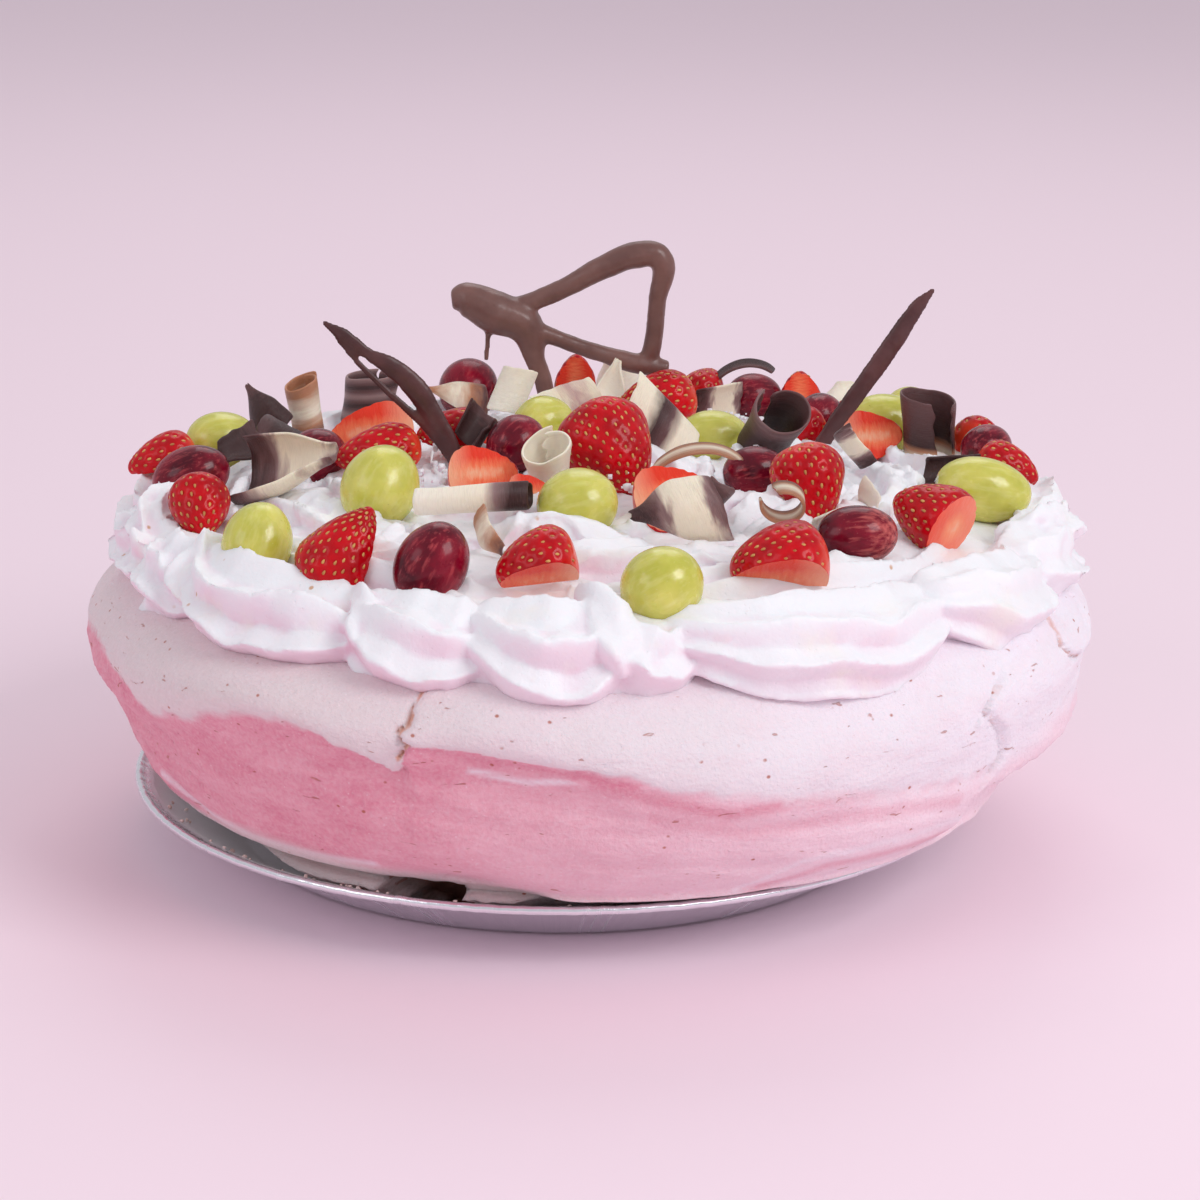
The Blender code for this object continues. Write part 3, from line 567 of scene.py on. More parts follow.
def shapeSide(vertex, marks):
    radius = vertex.co.xy.length / mm
    height = vertex.co.z / mm
    bearing = math.degrees(math.atan2(vertex.co.y, vertex.co.x))
    angle = math.radians(bearing)
    ledge, base, top = ledgeHeight(bearing), meringue["ledge"], meringue["top"]
    onSide = radius > meringue["flatRadius"]
    if onSide:
        lip = meringue["overhang"] * (0.35 + 0.65 * bump(bearing, -108.0, 45.0))
        radius += lip * between((50.0, 60.0), (64.0, 82.0), height)
    if height > base:
        moved = ledge + (height - base) * (top - ledge) / (top - base)
    else:
        moved = height + (ledge - base) * smoothStep(24.0, base, height)
    inBreak, hollow, cap, tone = 0.0, 0.0, 1.0, 0.5
    if onSide and moved > 2.0:
        place = Vector((145.0 * math.cos(angle), 145.0 * math.sin(angle), moved))
        cap, overSide = capAt(place, bearing, moved)
        flank = smoothStep(10.0, 24.0, moved) * (1.0 - 0.75 * cap)
        push, inBreak = fractureAt(bearing, moved)
        tone = streakAt(bearing, moved)
        hollow = hollowAt(place, bearing, moved)
        radius += unevenness(bearing, moved) - overSide
        radius += crustRelief(place, bearing, moved, flank) - 0.5 * (tone - 0.5) * flank
        radius += push * smoothStep(24.0, 34.0, moved) - chunkDepth(place, bearing, moved)
        radius -= meringue["hollow"]["push"] * hollow * smoothStep(2.0, 6.0, moved)
        radius += bandPush(meringue["groove"], bearing, moved) + bandPush(meringue["onRim"], bearing, moved)
    drift = smoothStep(meringue["driftStart"], meringue["driftEnd"], moved)
    forward = meringue["footForward"] * (1.0 - drift)
    leastX, leastY = (cadBox[0][axis] / mm + meringue["boxGap"] for axis in (0, 1))
    x = max(centreAt(moved) + radius * math.cos(angle), leastX)
    y = max(radius * math.sin(angle) - forward, leastY)
    if radius > meringue["flatRadius"] and moved < 21.0 and hollow < 0.3:
        x, y = footAt(x, y, moved, bearing)
    vertex.co = Vector((x, y, moved)) * mm
    leftFoot = bump(bearing, -132.0, 30.0)
    vertex[marks["foot"]] = 1.0 - smoothStep(19.0 + 7.0 * leftFoot, 24.0 + 9.5 * leftFoot, moved)
    # the crack and hollow marks say where the breaks and the hole get painted shade
    for name, value in (("cap", cap), ("crack", inBreak), ("hollow", hollow), ("tone", tone)):
        vertex[marks[name]] = value


def meringueMaterial():
    material, tree, shader = makeMaterial("bakedMeringue", {
        "Roughness": 0.74, "Subsurface Weight": 0.2, "Subsurface Scale": 0.004,
        "Subsurface Radius": (1.0, 0.55, 0.5), "Specular IOR Level": 0.32,
    })
    point = objectPoint(tree)
    x, _, z = parted(tree, point)
    clouds = noiseOf(tree, point, 26.0, 4.0, 0.6)
    patches = noiseOf(tree, stretched(tree, point, (1.0, 1.0, 2.6)), 46.0, 5.0, 0.6, 0.5)
    # painted light: the cap turns brighter towards the right, where the key light falls
    litRightSide = ranged(tree, mathOf(tree, "ADD", x, mathOf(tree, "MULTIPLY", clouds, 0.1)), -0.02, 0.17)
    cap = mixed(tree, litRightSide, meringue["cap"], meringue["capBright"])
    cap = tinged(tree, cap, meringue["capBlush"], patches, 0.42, 0.72, 0.35)
    # painted light: the flank's pink is painted pink bounce light from the floor, deeper in mottled patches
    # and dark streaks
    flank = tinged(tree, meringue["flankDeep"], meringue["flank"], patches, 0.34, 0.68)
    mottle = noiseOf(tree, stretched(tree, point, (1.0, 1.0, 1.8)), 150.0, 4.0, 0.65, 0.4)
    flank = tinged(tree, flank, meringue["flankDeep"], mottle, 0.52, 0.7, 0.5)
    # painted light: the painted pink bounce fades to pale towards the lower right, where the key light falls
    litLowRight = ranged(tree, mathOf(tree, "ADD", x, mathOf(tree, "MULTIPLY", z, -1.1)), -0.1, 0.05)
    flank = mixed(tree, mathOf(tree, "MULTIPLY", litLowRight, 0.95), flank, meringue["flankLitPale"])
    tone = attributeOf(tree, "tone")
    flank = tinged(tree, flank, meringue["flankDeep"], tone, 0.55, 1.0, 0.85)
    flank = tinged(tree, flank, meringue["capBright"], tone, 0.45, 0.0, 0.75)
    edge = mathOf(tree, "ADD", attributeOf(tree, "cap"), ranged(tree, patches, 0.3, 0.7, -0.2, 0.2))
    colour = tinged(tree, flank, cap, edge, 0.2, 0.8)
    colour = mixed(tree, attributeOf(tree, "foot"), colour, meringue["foot"])
    grain = noiseOf(tree, point, 900.0, 2.0)
    colour = tinged(tree, colour, meringue["crust"], grain, 0.35, 0.75, 0.18)
    sugar = cellsOf(tree, point, 330.0)
    colour = tinged(tree, colour, meringue["sugar"], sugar, 0.12, 0.05, 0.3)
    specks = cellsOf(tree, stretched(tree, point, (1.0, 1.0, 1.2)), 190.0)
    chosen = ranged(tree, noiseOf(tree, point, 58.0, 3.0, 0.65), 0.52, 0.57)
    dots = mathOf(tree, "MULTIPLY", ranged(tree, specks, 0.14, 0.07), chosen)
    gashes = noiseOf(tree, stretched(tree, point, (1.0, 1.0, 3.2)), 150.0, 2.0, 0.5, 0.6)
    gashes = ranged(tree, gashes, 0.7, 0.73)
    colour = mixed(tree, mathOf(tree, "MULTIPLY", dots, 0.8), colour, meringue["scorch"])
    colour = mixed(tree, mathOf(tree, "MULTIPLY", gashes, 0.55), colour, meringue["scorch"])
    # painted shade in the breaks of the crust
    colour = tinged(tree, colour, meringue["crackShade"], attributeOf(tree, "crack"), 0.35, 0.9, 0.8)
    # painted shade: the hole below the front lip is painted dark brown
    colour = tinged(tree, colour, meringue["hollowShade"], attributeOf(tree, "hollow"), 0.2, 1.0, 0.95)
    paint(tree, shader, colour)
    dust = noiseOf(tree, point, 1500.0, 3.0, 0.7)
    pores = mathOf(tree, "MULTIPLY", ranged(tree, specks, 0.17, 0.0, 0.0, -1.0), chosen)
    bumped(tree, shader, (grain, 0.00035), (dust, 0.00016), (pores, 0.0002), (gashes, -0.0002),
           (mottle, 0.0004), (patches, 0.0009))
    return material


def buildMeringue():
    shape = bmesh.new()
    marks = {name: shape.verts.layers.float.new(name) for name in ("cap", "foot", "crack", "hollow", "tone")}
    side = smoothProfile(meringue["profile"], 1.12)
    profile = [(0.0, 0.8), (40.0, 0.8), *side, (112.0, 86.6), (60.0, 87.0), (0.0, 87.0)]
    turnedProfile(shape, profile, meringue["steps"])
    for vertex in shape.verts:
        shapeSide(vertex, marks)
    smoothFaces(shape)
    print("meringue made:", len(shape.faces), "faces")
    newPiece("meringueShell", shape, [meringueMaterial()], ["meringue"])


cream = {
    "centre": 10.0, "fieldRadius": 122.0, "fieldEdge": 101.0, "crown": 10.0,
    # where each piped swag starts, how thick it gets, how far its lips turn, their number and depth
    "swags": ((-180.0, 15.0, -50.0, 8, 0.26), (-171.0, 14.0, -30.0, 7, 0.3), (-162.0, 15.0, -62.0, 7, 0.27),
              (-150.0, 17.6, -58.0, 7, 0.27), (-121.0, 16.4, -46.0, 7, 0.25),
              (-106.0, 17.6, -60.0, 7, 0.27), (-90.0, 13.0, 24.0, 6, 0.24), (-83.0, 16.4, -28.0, 8, 0.22),
              (-47.0, 15.5, -30.0, 7, 0.24), (-24.0, 15.5, -50.0, 6, 0.26), (-4.0, 16.5, -40.0, 7, 0.25),
              (16.0, 16.5, -58.0, 8, 0.26), (36.0, 16.0, -40.0, 7, 0.28), (56.0, 17.0, -54.0, 7, 0.25),
              (78.0, 16.0, -48.0, 8, 0.27), (98.0, 16.8, -60.0, 7, 0.26), (118.0, 16.0, -42.0, 7, 0.28),
              (139.0, 16.8, -58.0, 8, 0.25), (160.0, 16.4, -46.0, 7, 0.28)),
    "cuspRadius": 121.5, "cuspHeight": 97.0, "bellyRadius": 129.0, "bellyHeight": 87.6, "rightSpill": 3.0,
    "thin": 7.5, "tuck": 5.0,
    # loose curls of cream: (bearing, distance out, height, thickness) knots, lips and turn
    "flaps": ((((-43, 127, 96, 3), (-39, 134, 94, 7), (-35, 138.5, 90, 6.5), (-32, 141, 85, 2.5)), 3, 60.0),
              (((-152, 118, 101, 3), (-149.5, 127, 102, 6.5), (-148, 133, 96, 7.5), (-144, 136, 90, 4)), 4,
               90.0),
              (((-122, 120, 100, 3), (-119, 128, 100, 6), (-117.5, 134, 95, 6.5), (-115, 137, 90, 3.5)), 4,
               60.0),
              (((-93, 116, 104, 4), (-90.5, 126, 103, 8), (-88.5, 134, 96, 8.5), (-87, 138, 88, 4)), 4,
               80.0),
              (((-20, 122, 100, 4), (-14, 132, 100, 9), (-8, 136, 97, 9.5), (-2, 138, 93, 5)), 5, 90.0),
              (((-176, 116, 103, 4), (-172, 126, 103, 8), (-168, 131, 98, 8.5), (-164, 132, 92, 5)), 5,
               90.0)),
    "flapGroove": 0.34, "roundLips": 6, "roundGroove": 0.3,
    # radius and thickness of each round inside the border
    "rounds": ((106.0, 11.5), (88.0, 11.0), (69.0, 11.0), (50.0, 10.5), (31.0, 10.0), (12.0, 9.0)),
    "domeEdge": ((0.0, 83.0), (128.0, 83.0), (127.0, 94.0)), "domeSteps": 12, "domeDrop": 3.6,
    "steepShare": 0.36,
    "swagGrid": (162, 44), "flapColumns": 72, "roundColumns": 84, "voxel": 0.85, "most": 197000,
    # the fold colour is painted pink shade for creases and the undersides of the lips
    "white": tint(246, 246, 250), "foldShade": tint(243, 203, 219), "butter": tint(250, 243, 226),
    "speck": tint(206, 150, 96),
}


def fieldHeight(x, y):
    radius = min(math.hypot(x - cream["centre"], y), cream["fieldRadius"])
    return cream["fieldEdge"] + cream["crown"] * (1.0 - (radius / cream["fieldRadius"]) ** 2)


def fluted(angle, lobes, groove):
    # going down from a crisp lip: a steep face tucked in under it, then a scooped slope out to the next lip
    steep = cream["steepShare"]
    fall = (-lobes * angle / math.tau) % 1.0
    if fall < steep:
        depth = 0.55 * smoothStep(0.0, 0.045, fall) + 0.45 * smoothStep(0.02, steep, fall)
    else:
        depth = 1.0 - ((fall - steep) / (1.0 - steep)) ** 1.3
    return 1.0 - groove * depth


def swagPath(start, end, share):
    bearing = start + (end + cream["tuck"] - start) * share
    inside = min(max(share, 0.0), 1.0)
    belly = max(math.sin(math.pi * inside ** 0.8), 0.0) ** 0.7
    radius = cream["cuspRadius"] + (cream["bellyRadius"] - cream["cuspRadius"]) * belly
    radius += cream["rightSpill"] * bump(bearing, -4.0, 45.0)
    rise = (1.0 - inside) ** 2.4 + 0.14 * smoothStep(0.7, 1.0, inside)
    height = cream["bellyHeight"] + (cream["cuspHeight"] - cream["bellyHeight"]) * rise
    angle = math.radians(bearing)
    return Vector((cream["centre"] + radius * math.cos(angle), radius * math.sin(angle), height))


def addRope(shape, path, radiusAt, twistAt, columns, rows, lobes, groove, seed, sway=0.35):
    frames = []
    for row in range(rows):
        share = row / (rows - 1)
        middle = path(share)
        heading = path(min(share + 0.01, 1.0)) - path(max(share - 0.01, 0.0))
        outward = Vector((middle.x - cream["centre"], middle.y, 0.0)).normalized()
        up = heading.cross(outward).normalized()
        frames.append((middle, outward, up, radiusAt(share), twistAt(share)))

    def place(across, share):
        middle, outward, up, radius, twist = frames[round(share * (rows - 1))]
        angle = math.tau * across + twist
        # each lip sways, fades and frays a little along the rope
        slow = noise.noise(Vector((share * 2.6, math.cos(angle) * 0.9, seed)))
        quick = noise.noise(Vector((share * 7.0, math.sin(angle) * 1.3, seed + 4.0)))
        swayed = angle + sway * (slow + 0.5 * quick)
        lip = math.floor(-lobes * swayed / math.tau)
        fade = 1.15 + 0.5 * noise.noise(Vector((share * 2.4, lip * 3.1, seed)))
        fray = 1.0 + 0.05 * noise.noise(Vector((share * 9.0, lip * 3.1, seed)))
        fray += 0.022 * noise.noise(Vector((share * 34.0, lip * 2.3, seed)))
        reach = radius * fluted(swayed, lobes, groove * fade) * fray
        return (middle + (outward * math.cos(angle) + up * math.sin(angle)) * reach) * mm

    made = mappedGrid(shape, columns, rows - 1, place)
    bmesh.ops.remove_doubles(shape, verts=made, dist=0.00001)


def addSwags(shape):
    swags = cream["swags"]
    for index, (start, thick, twist, lobes, groove) in enumerate(swags):
        end = swags[index + 1][0] if index + 1 < len(swags) else swags[0][0] + 360.0

        def radiusAt(share):
            closing = math.sqrt(max(0.0, 1.0 - abs(2.0 * share - 1.0) ** 16))
            swell = smoothStep(-0.12, 0.42, share) * (1.0 - 0.75 * smoothStep(0.72, 1.02, share))
            return closing * (cream["thin"] + (thick - cream["thin"]) * swell)

        def twistAt(share):
            return math.radians(twist * share + index * 13.0 + 9.0 * math.sin(4.0 * share + index * 1.7))

        addRope(shape, lambda share: swagPath(start, end, share), radiusAt, twistAt, *cream["swagGrid"],
                lobes, groove, index * 7.3)


def addFlaps(shape):
    for index, (corners, lobes, twist) in enumerate(cream["flaps"]):
        knots = smoothProfile(corners, 1.4)
        rows = len(knots)

        def path(share):
            at = min(max(share, 0.0), 1.0) * (rows - 1)
            low = min(int(at), rows - 2)
            bearing, out, height, _ = (a + (b - a) * (at - low) for a, b in zip(knots[low], knots[low + 1]))
            angle = math.radians(bearing)
            return Vector((cream["centre"] + out * math.cos(angle), out * math.sin(angle), height))

        def radiusAt(share):
            closing = math.sqrt(max(0.0, 1.0 - abs(2.0 * share - 1.0) ** 6))
            return closing * knots[round(share * (rows - 1))][3]

        addRope(shape, path, radiusAt, lambda share: math.radians(twist * share + index * 40.0),
                cream["flapColumns"], rows, lobes, cream["flapGroove"], index * 5.1 + 60.0, 0.5)


def addRounds(shape):
    for index, (radius, thickness) in enumerate(cream["rounds"]):
        def path(share):
            angle = math.tau * share * 0.998 + index * 0.9
            wave = 3.4 * math.sin(6.0 * angle + index * 1.3)
            x = cream["centre"] + (radius + wave) * math.cos(angle)
            y = (radius + wave) * math.sin(angle)
            lift = 2.0 * math.sin(5.0 * angle + index * 2.1) + 1.2 * math.sin(11.0 * angle + index)
            return Vector((x, y, fieldHeight(x, y) + lift - thickness + 2.2))
        rows = max(40, round(radius * 3.2))
        turns = max(2.0, radius / 26.0)
        addRope(shape, path, lambda share: thickness * (1.0 + 0.12 * math.sin(41.0 * share + index)),
                lambda share: math.tau * turns * share, cream["roundColumns"], rows,
                cream["roundLips"], cream["roundGroove"], index * 3.7, 0.6)


def creamMaterial():
    material, tree, shader = makeMaterial("whippedCream", {
        "Roughness": 0.42, "Subsurface Weight": 0.3, "Subsurface Scale": 0.004,
        "Subsurface Radius": (1.0, 0.75, 0.75), "Specular IOR Level": 0.4,
    })
    point = objectPoint(tree)
    soft = noiseOf(tree, point, 60.0, 4.0)
    patches = ranged(tree, noiseOf(tree, point, 32.0, 2.0), 0.3, 0.7, 0.55, 1.0)
    x = parted(tree, point)[0]
    # the painted pink shade fades towards the right, where the key light falls
    patches = mathOf(tree, "MULTIPLY", patches, ranged(tree, x, 0.0, 0.1, 1.0, 0.5))
    # painted shade: creases and downward faces turn pink
    foldShade = mathOf(tree, "MULTIPLY", attributeOf(tree, "foldShade"), patches)
    colour = tinged(tree, cream["white"], cream["foldShade"], foldShade, 0.05, 1.0)
    colour = tinged(tree, colour, cream["butter"], soft, 0.56, 0.74, 0.4)
    specks = cellsOf(tree, point, 120.0)
    chosen = ranged(tree, noiseOf(tree, point, 40.0, 2.0), 0.58, 0.62)
    dots = mathOf(tree, "MULTIPLY", ranged(tree, specks, 0.11, 0.06, 0.0, 0.8), chosen)
    colour = mixed(tree, dots, colour, cream["speck"])
    bubbles = cellsOf(tree, point, 420.0)
    tiny = noiseOf(tree, point, 700.0, 3.0)
    paint(tree, shader, colour, ranged(tree, soft, 0.3, 0.7, 0.36, 0.52))
    bumped(tree, shader, (tiny, 0.00022), (ranged(tree, bubbles, 0.0, 0.16), 0.00012), (soft, 0.0006))
    return material


def addDome(shape):
    # what the toppings stand on, under the rounds
    dome = bmesh.new()
    outline = list(cream["domeEdge"])
    for step in range(cream["domeSteps"] + 1):
        radius = cream["fieldRadius"] * (1.0 - step / cream["domeSteps"])
        outline.append((radius, fieldHeight(cream["centre"] + radius, 0.0) - cream["domeDrop"]))
    turnedProfile(dome, outline, 96)
    bmesh.ops.translate(dome, vec=(cream["centre"] * mm, 0.0, 0.0), verts=dome.verts)
    shape.from_mesh(meshOf("dome", dome))
    bmesh.ops.recalc_face_normals(shape, faces=shape.faces)


def swellOf(place):
    # soft unevenness, torn places in the border, and crests in the cream between the toppings
    shifted = place / 17.0
    bent = place + Vector((noise.noise(shifted), noise.noise(shifted + Vector((7, 0, 0))), 0.0)) * 9.0
    out = math.hypot(place.x - cream["centre"], place.y)
    bearing = math.degrees(math.atan2(place.y, place.x - cream["centre"]))
    torn = bump(bearing, -10.0, 16.0) + 0.7 * bump(bearing, -170.0, 22.0)
    torn += 0.5 * bump(bearing, 60.0, 20.0)
    torn *= smoothStep(112.0, 124.0, out)
    swell = 0.3 * noise.noise(place / 9.0) + 0.1 * noise.noise(place / 3.0)
    swell += 0.6 * noise.noise(place / 26.0)
    swell += 0.4 * noise.noise(bent / 12.0) + torn * (1.3 * noise.noise(place / 4.5) - 0.4)
    inner = 1.0 - smoothStep(104.0, 116.0, out)
    crest = max(0.0, 1.0 - 4.0 * abs(noise.noise(bent / 11.0)))
    ridges = 0.9 * noise.noise(bent / 7.0) + 1.5 * crest ** 1.5
    return swell + inner * (ridges + 0.25 * noise.noise(place / 3.4))


def trianglesIn(shape):
    return sum(len(face.verts) - 2 for face in shape.faces)


def buildCream():
    shape = bmesh.new()
    shape.loops.layers.uv.new("across")
    addSwags(shape)
    addFlaps(shape)
    addRounds(shape)
    addDome(shape)
    shape = melted(shape, cream["voxel"])
    dropBuried(shape)
    smoothPoints(shape, 0.35)
    shape.normal_update()
    for vertex in shape.verts:
        vertex.co += vertex.normal * swellOf(vertex.co / mm) * mm
    triangles = trianglesIn(shape)

    def thinned(helper):
        modifier = helper.modifiers.new("thin", "DECIMATE")
        modifier.ratio = min(1.0, cream["most"] / triangles)

    shape = shapeOf(appliedMesh(meshOf("swollen", shape), thinned))
    shape.normal_update()
    markFoldShade(shape)
    smoothFaces(shape)
    print("cream made:", triangles, "triangles thinned to", trianglesIn(shape))
    newPiece("creamBorder", shape, [creamMaterial()], ["whipped_cream"])


def dropBuried(shape):
    # what lies inside the meringue goes, and one face closes the cream under there
    side = sorted((height, radius) for radius, height in meringue["profile"])
    buried = []
    for vertex in shape.verts:
        x, y, height = vertex.co / mm
        x -= cream["centre"]
        bearing = math.degrees(math.atan2(y, x))
        ledge, base, top = ledgeHeight(bearing), meringue["ledge"], meringue["top"]
        level = base + (height - ledge) * (top - base) / (top - ledge)
        if level < 86.0 and math.hypot(x, y) < along(side, level) + unevenness(bearing, height) - 3.0:
            buried.append(vertex)
    bmesh.ops.delete(shape, geom=buried, context="VERTS")
    loose = [vertex for vertex in shape.verts if not vertex.link_faces]
    bmesh.ops.delete(shape, geom=loose, context="VERTS")
    bmesh.ops.holes_fill(shape, edges=[edge for edge in shape.edges if edge.is_boundary], sides=0)
    bmesh.ops.recalc_face_normals(shape, faces=shape.faces)


def markFoldShade(shape):
    # painted pink shade: how far each point lies below its neighbours, 1 in a crease and 0 on a ridge, and
    # more where a face turns downwards
    layer = shape.verts.layers.float.new("foldShade")
    shape.verts.ensure_lookup_table()
    shape.verts.index_update()
    around = [[edge.other_vert(vertex).index for edge in vertex.link_edges] for vertex in shape.verts]
    depth = []
    for vertex, beside in zip(shape.verts, around):
        middle = sum((shape.verts[index].co for index in beside), Vector()) / max(len(beside), 1)
        depth.append((middle - vertex.co).dot(vertex.normal) / mm)
    for _ in range(6):
        depth = [0.4 * own + 0.6 * sum(depth[index] for index in beside) / max(len(beside), 1)
                 for own, beside in zip(depth, around)]
    for vertex, value in zip(shape.verts, depth):
        under = smoothStep(0.45, -0.35, vertex.normal.z)
        vertex[layer] = min(1.0, smoothStep(0.0, 0.1, value) * 0.45 + 0.85 * under)


def toppingMatrix(x, y, lift, bearing, elevation, spin=0.0):
    # leans from upright towards the bearing, at a height over the cream
    place = Matrix.Translation(Vector((x, y, fieldHeight(x, y) + lift)) * mm)
    tilt = Matrix.Rotation(math.radians(90.0 - elevation), 4, "Y")
    turn = Matrix.Rotation(math.radians(bearing), 4, "Z")
    return place @ turn @ tilt @ Matrix.Rotation(math.radians(spin), 4, "Z")


def layOnCream(shape, *place):
    bmesh.ops.transform(shape, matrix=toppingMatrix(*place), verts=shape.verts)


grapes = {
    # x, y, lift, length, width, bearing, elevation
    "green": ((-83, -72, 4, 23, 19.5, 60, 60), (-51, -39, 6, 25, 22, 40, 55), (5, -56, 4, 23, 21, 0, 15),
              (27, -117, 5, 22.5, 21, 0, 30), (47, 38, 1, 23, 18, 5, 0), (103, 72, 6, 24, 19, 5, 0),
              (124, -12, 5, 29, 19, 0, -10), (-104, 40, 7, 22, 18, 15, 5), (-5, 50, 3, 20, 17, 35, 0),
              (113, 88, 7, 19, 16, 130, 10)),
    "red": ((-109, 0, 5, 24, 18, 0, 25), (-73, 15, 3, 19, 17, 20, 20), (-30, 110, 8, 21, 19.5, 70, 30),
            (-13, 7, 5, 18.5, 17, 30, 30), (-34, -101, 5, 24, 19.5, 10, 60), (57, -11, 2, 19, 16, 0, 10),
            (82, -70, 4, 23, 17, 0, 5), (63, 103, 7, 19, 16, 20, 0), (83, 80, 5, 17, 15, 60, 0),
            (131, 37, 7, 18, 15, 50, 0)),
    "redPale": (7,), "grid": (44, 30),
    "greenSkin": tint(222, 216, 108), "greenPale": tint(238, 233, 164), "greenDeep": tint(192, 190, 74),
    "redSkin": tint(150, 10, 42), "redDeep": tint(78, 3, 24), "redPatch": tint(196, 80, 84),
    "redBlush": tint(206, 104, 98), "fleck": tint(214, 214, 150), "mark": tint(120, 84, 30),
    "scar": tint(96, 70, 40), "redFleck": tint(190, 110, 110), "redScar": tint(70, 44, 30),
}


def greenMaterial():
    material, tree, shader = makeMaterial("greenGrape", {
        "Roughness": 0.2, "Subsurface Weight": 0.5, "Subsurface Scale": 0.005,
        "Subsurface Radius": (0.7, 1.0, 0.25), "Coat Weight": 0.25, "Coat Roughness": 0.12,
    })
    point = objectPoint(tree)
    spot = attributeOf(tree, "spot", "Vector")
    veins = noiseOf(tree, stretched(tree, spot, (3.4, 3.4, 0.7)), 1.5, 3.0)
    clouds = noiseOf(tree, point, 110.0, 3.0)
    colour = tinged(tree, grapes["greenDeep"], grapes["greenSkin"], clouds, 0.3, 0.7)
    colour = tinged(tree, colour, grapes["greenPale"], veins, 0.48, 0.75, 0.35)
    flecks = cellsOf(tree, point, 520.0)
    colour = tinged(tree, colour, grapes["fleck"], flecks, 0.1, 0.04, 0.45)
    marks = noiseOf(tree, stretched(tree, point, (1.0, 1.0, 3.0)), 240.0, 3.0, 0.7, 0.8)
    colour = tinged(tree, colour, grapes["mark"], marks, 0.71, 0.75, 0.7)
    colour = mixed(tree, attributeOf(tree, "scar"), colour, grapes["scar"])
    paint(tree, shader, colour, ranged(tree, clouds, 0.3, 0.75, 0.16, 0.34))
    bumped(tree, shader, (clouds, 0.0004), (noiseOf(tree, point, 900.0, 2.0), 0.00003))
    return material


def redMaterial(name, patch, lean):
    material, tree, shader = makeMaterial(name, {
        "Roughness": 0.2, "Subsurface Weight": 0.15, "Subsurface Scale": 0.002,
        "Subsurface Radius": (1.0, 0.15, 0.2), "Coat Weight": 0.22, "Coat Roughness": 0.05,
        "Specular IOR Level": 0.2,
    })
    point = objectPoint(tree)
    spot = attributeOf(tree, "spot", "Vector")
    clouds = noiseOf(tree, point, 90.0, 4.0)
    streaks = noiseOf(tree, stretched(tree, spot, (3.4, 3.4, 0.8)), 2.0, 4.0, 0.6)
    colour = tinged(tree, grapes["redDeep"], grapes["redSkin"], clouds, 0.35, 0.7)
    z = parted(tree, spot)[2]
    leaning = mathOf(tree, "ADD", streaks, mathOf(tree, "MULTIPLY", z, lean))   # paler towards one end
    colour = tinged(tree, colour, patch, leaning, 0.52, 0.8, 0.85)
    flecks = cellsOf(tree, point, 640.0)
    colour = tinged(tree, colour, grapes["redFleck"], flecks, 0.14, 0.05, 0.3)
    colour = mixed(tree, attributeOf(tree, "scar"), colour, grapes["redScar"])
    paint(tree, shader, colour, ranged(tree, clouds, 0.3, 0.75, 0.14, 0.36))
    bumped(tree, shader, (clouds, 0.0003), (noiseOf(tree, point, 1000.0, 2.0), 0.00003))
    return material


def grapeShape(length, width, seed):
    shape = bmesh.new()
    columns, rows = grapes["grid"]
    bmesh.ops.create_uvsphere(shape, u_segments=columns, v_segments=rows, radius=1.0)
    spot = shape.verts.layers.float_vector.new("spot")
    scar = shape.verts.layers.float.new("scar")
    for vertex in shape.verts:
        x, y, z = vertex.co
        vertex[spot] = Vector((x + seed, y, z))
        lump = 1.0 + 0.018 * noise.noise(Vector((x, y, z)) * 1.3 + Vector((seed * 5.1, 0, 0)))
        away = math.hypot(x, y)
        stem = math.exp(-((away / 0.16) ** 2)) if z < 0.0 else 0.0
        bloom = math.exp(-((away / 0.07) ** 2)) if z > 0.0 else 0.0
        vertex[scar] = min(1.0, stem * 0.9 + bloom * 0.8)
        wide = 0.5 * width * lump * (1.0 - 0.03 * z)
        tall = z * 0.5 * length * lump * (1.0 - 0.05 * stem - 0.03 * bloom)
        vertex.co = Vector((x * wide, y * wide, tall)) * mm
    smoothFaces(shape)
    return shape


def buildGrapes():
    skins = {"green": greenMaterial(), "red": redMaterial("redGrape", grapes["redPatch"], 0.0),
             "pale": redMaterial("redGrapePale", grapes["redBlush"], 0.22)}
    for colour in ("green", "red"):
        for index, (x, y, lift, length, width, bearing, elevation) in enumerate(grapes[colour], 1):
            shape = grapeShape(length, width, index * 1.37)
            layOnCream(shape, x, y, lift, bearing, elevation)
            pale = colour == "red" and index in grapes["redPale"]
            skin = skins["pale" if pale else colour]
            newPiece(f"{colour}Grape{index:02d}", shape, [skin],
                     [f"{colour}_grape_{index:02d}"])
    print("grapes made")


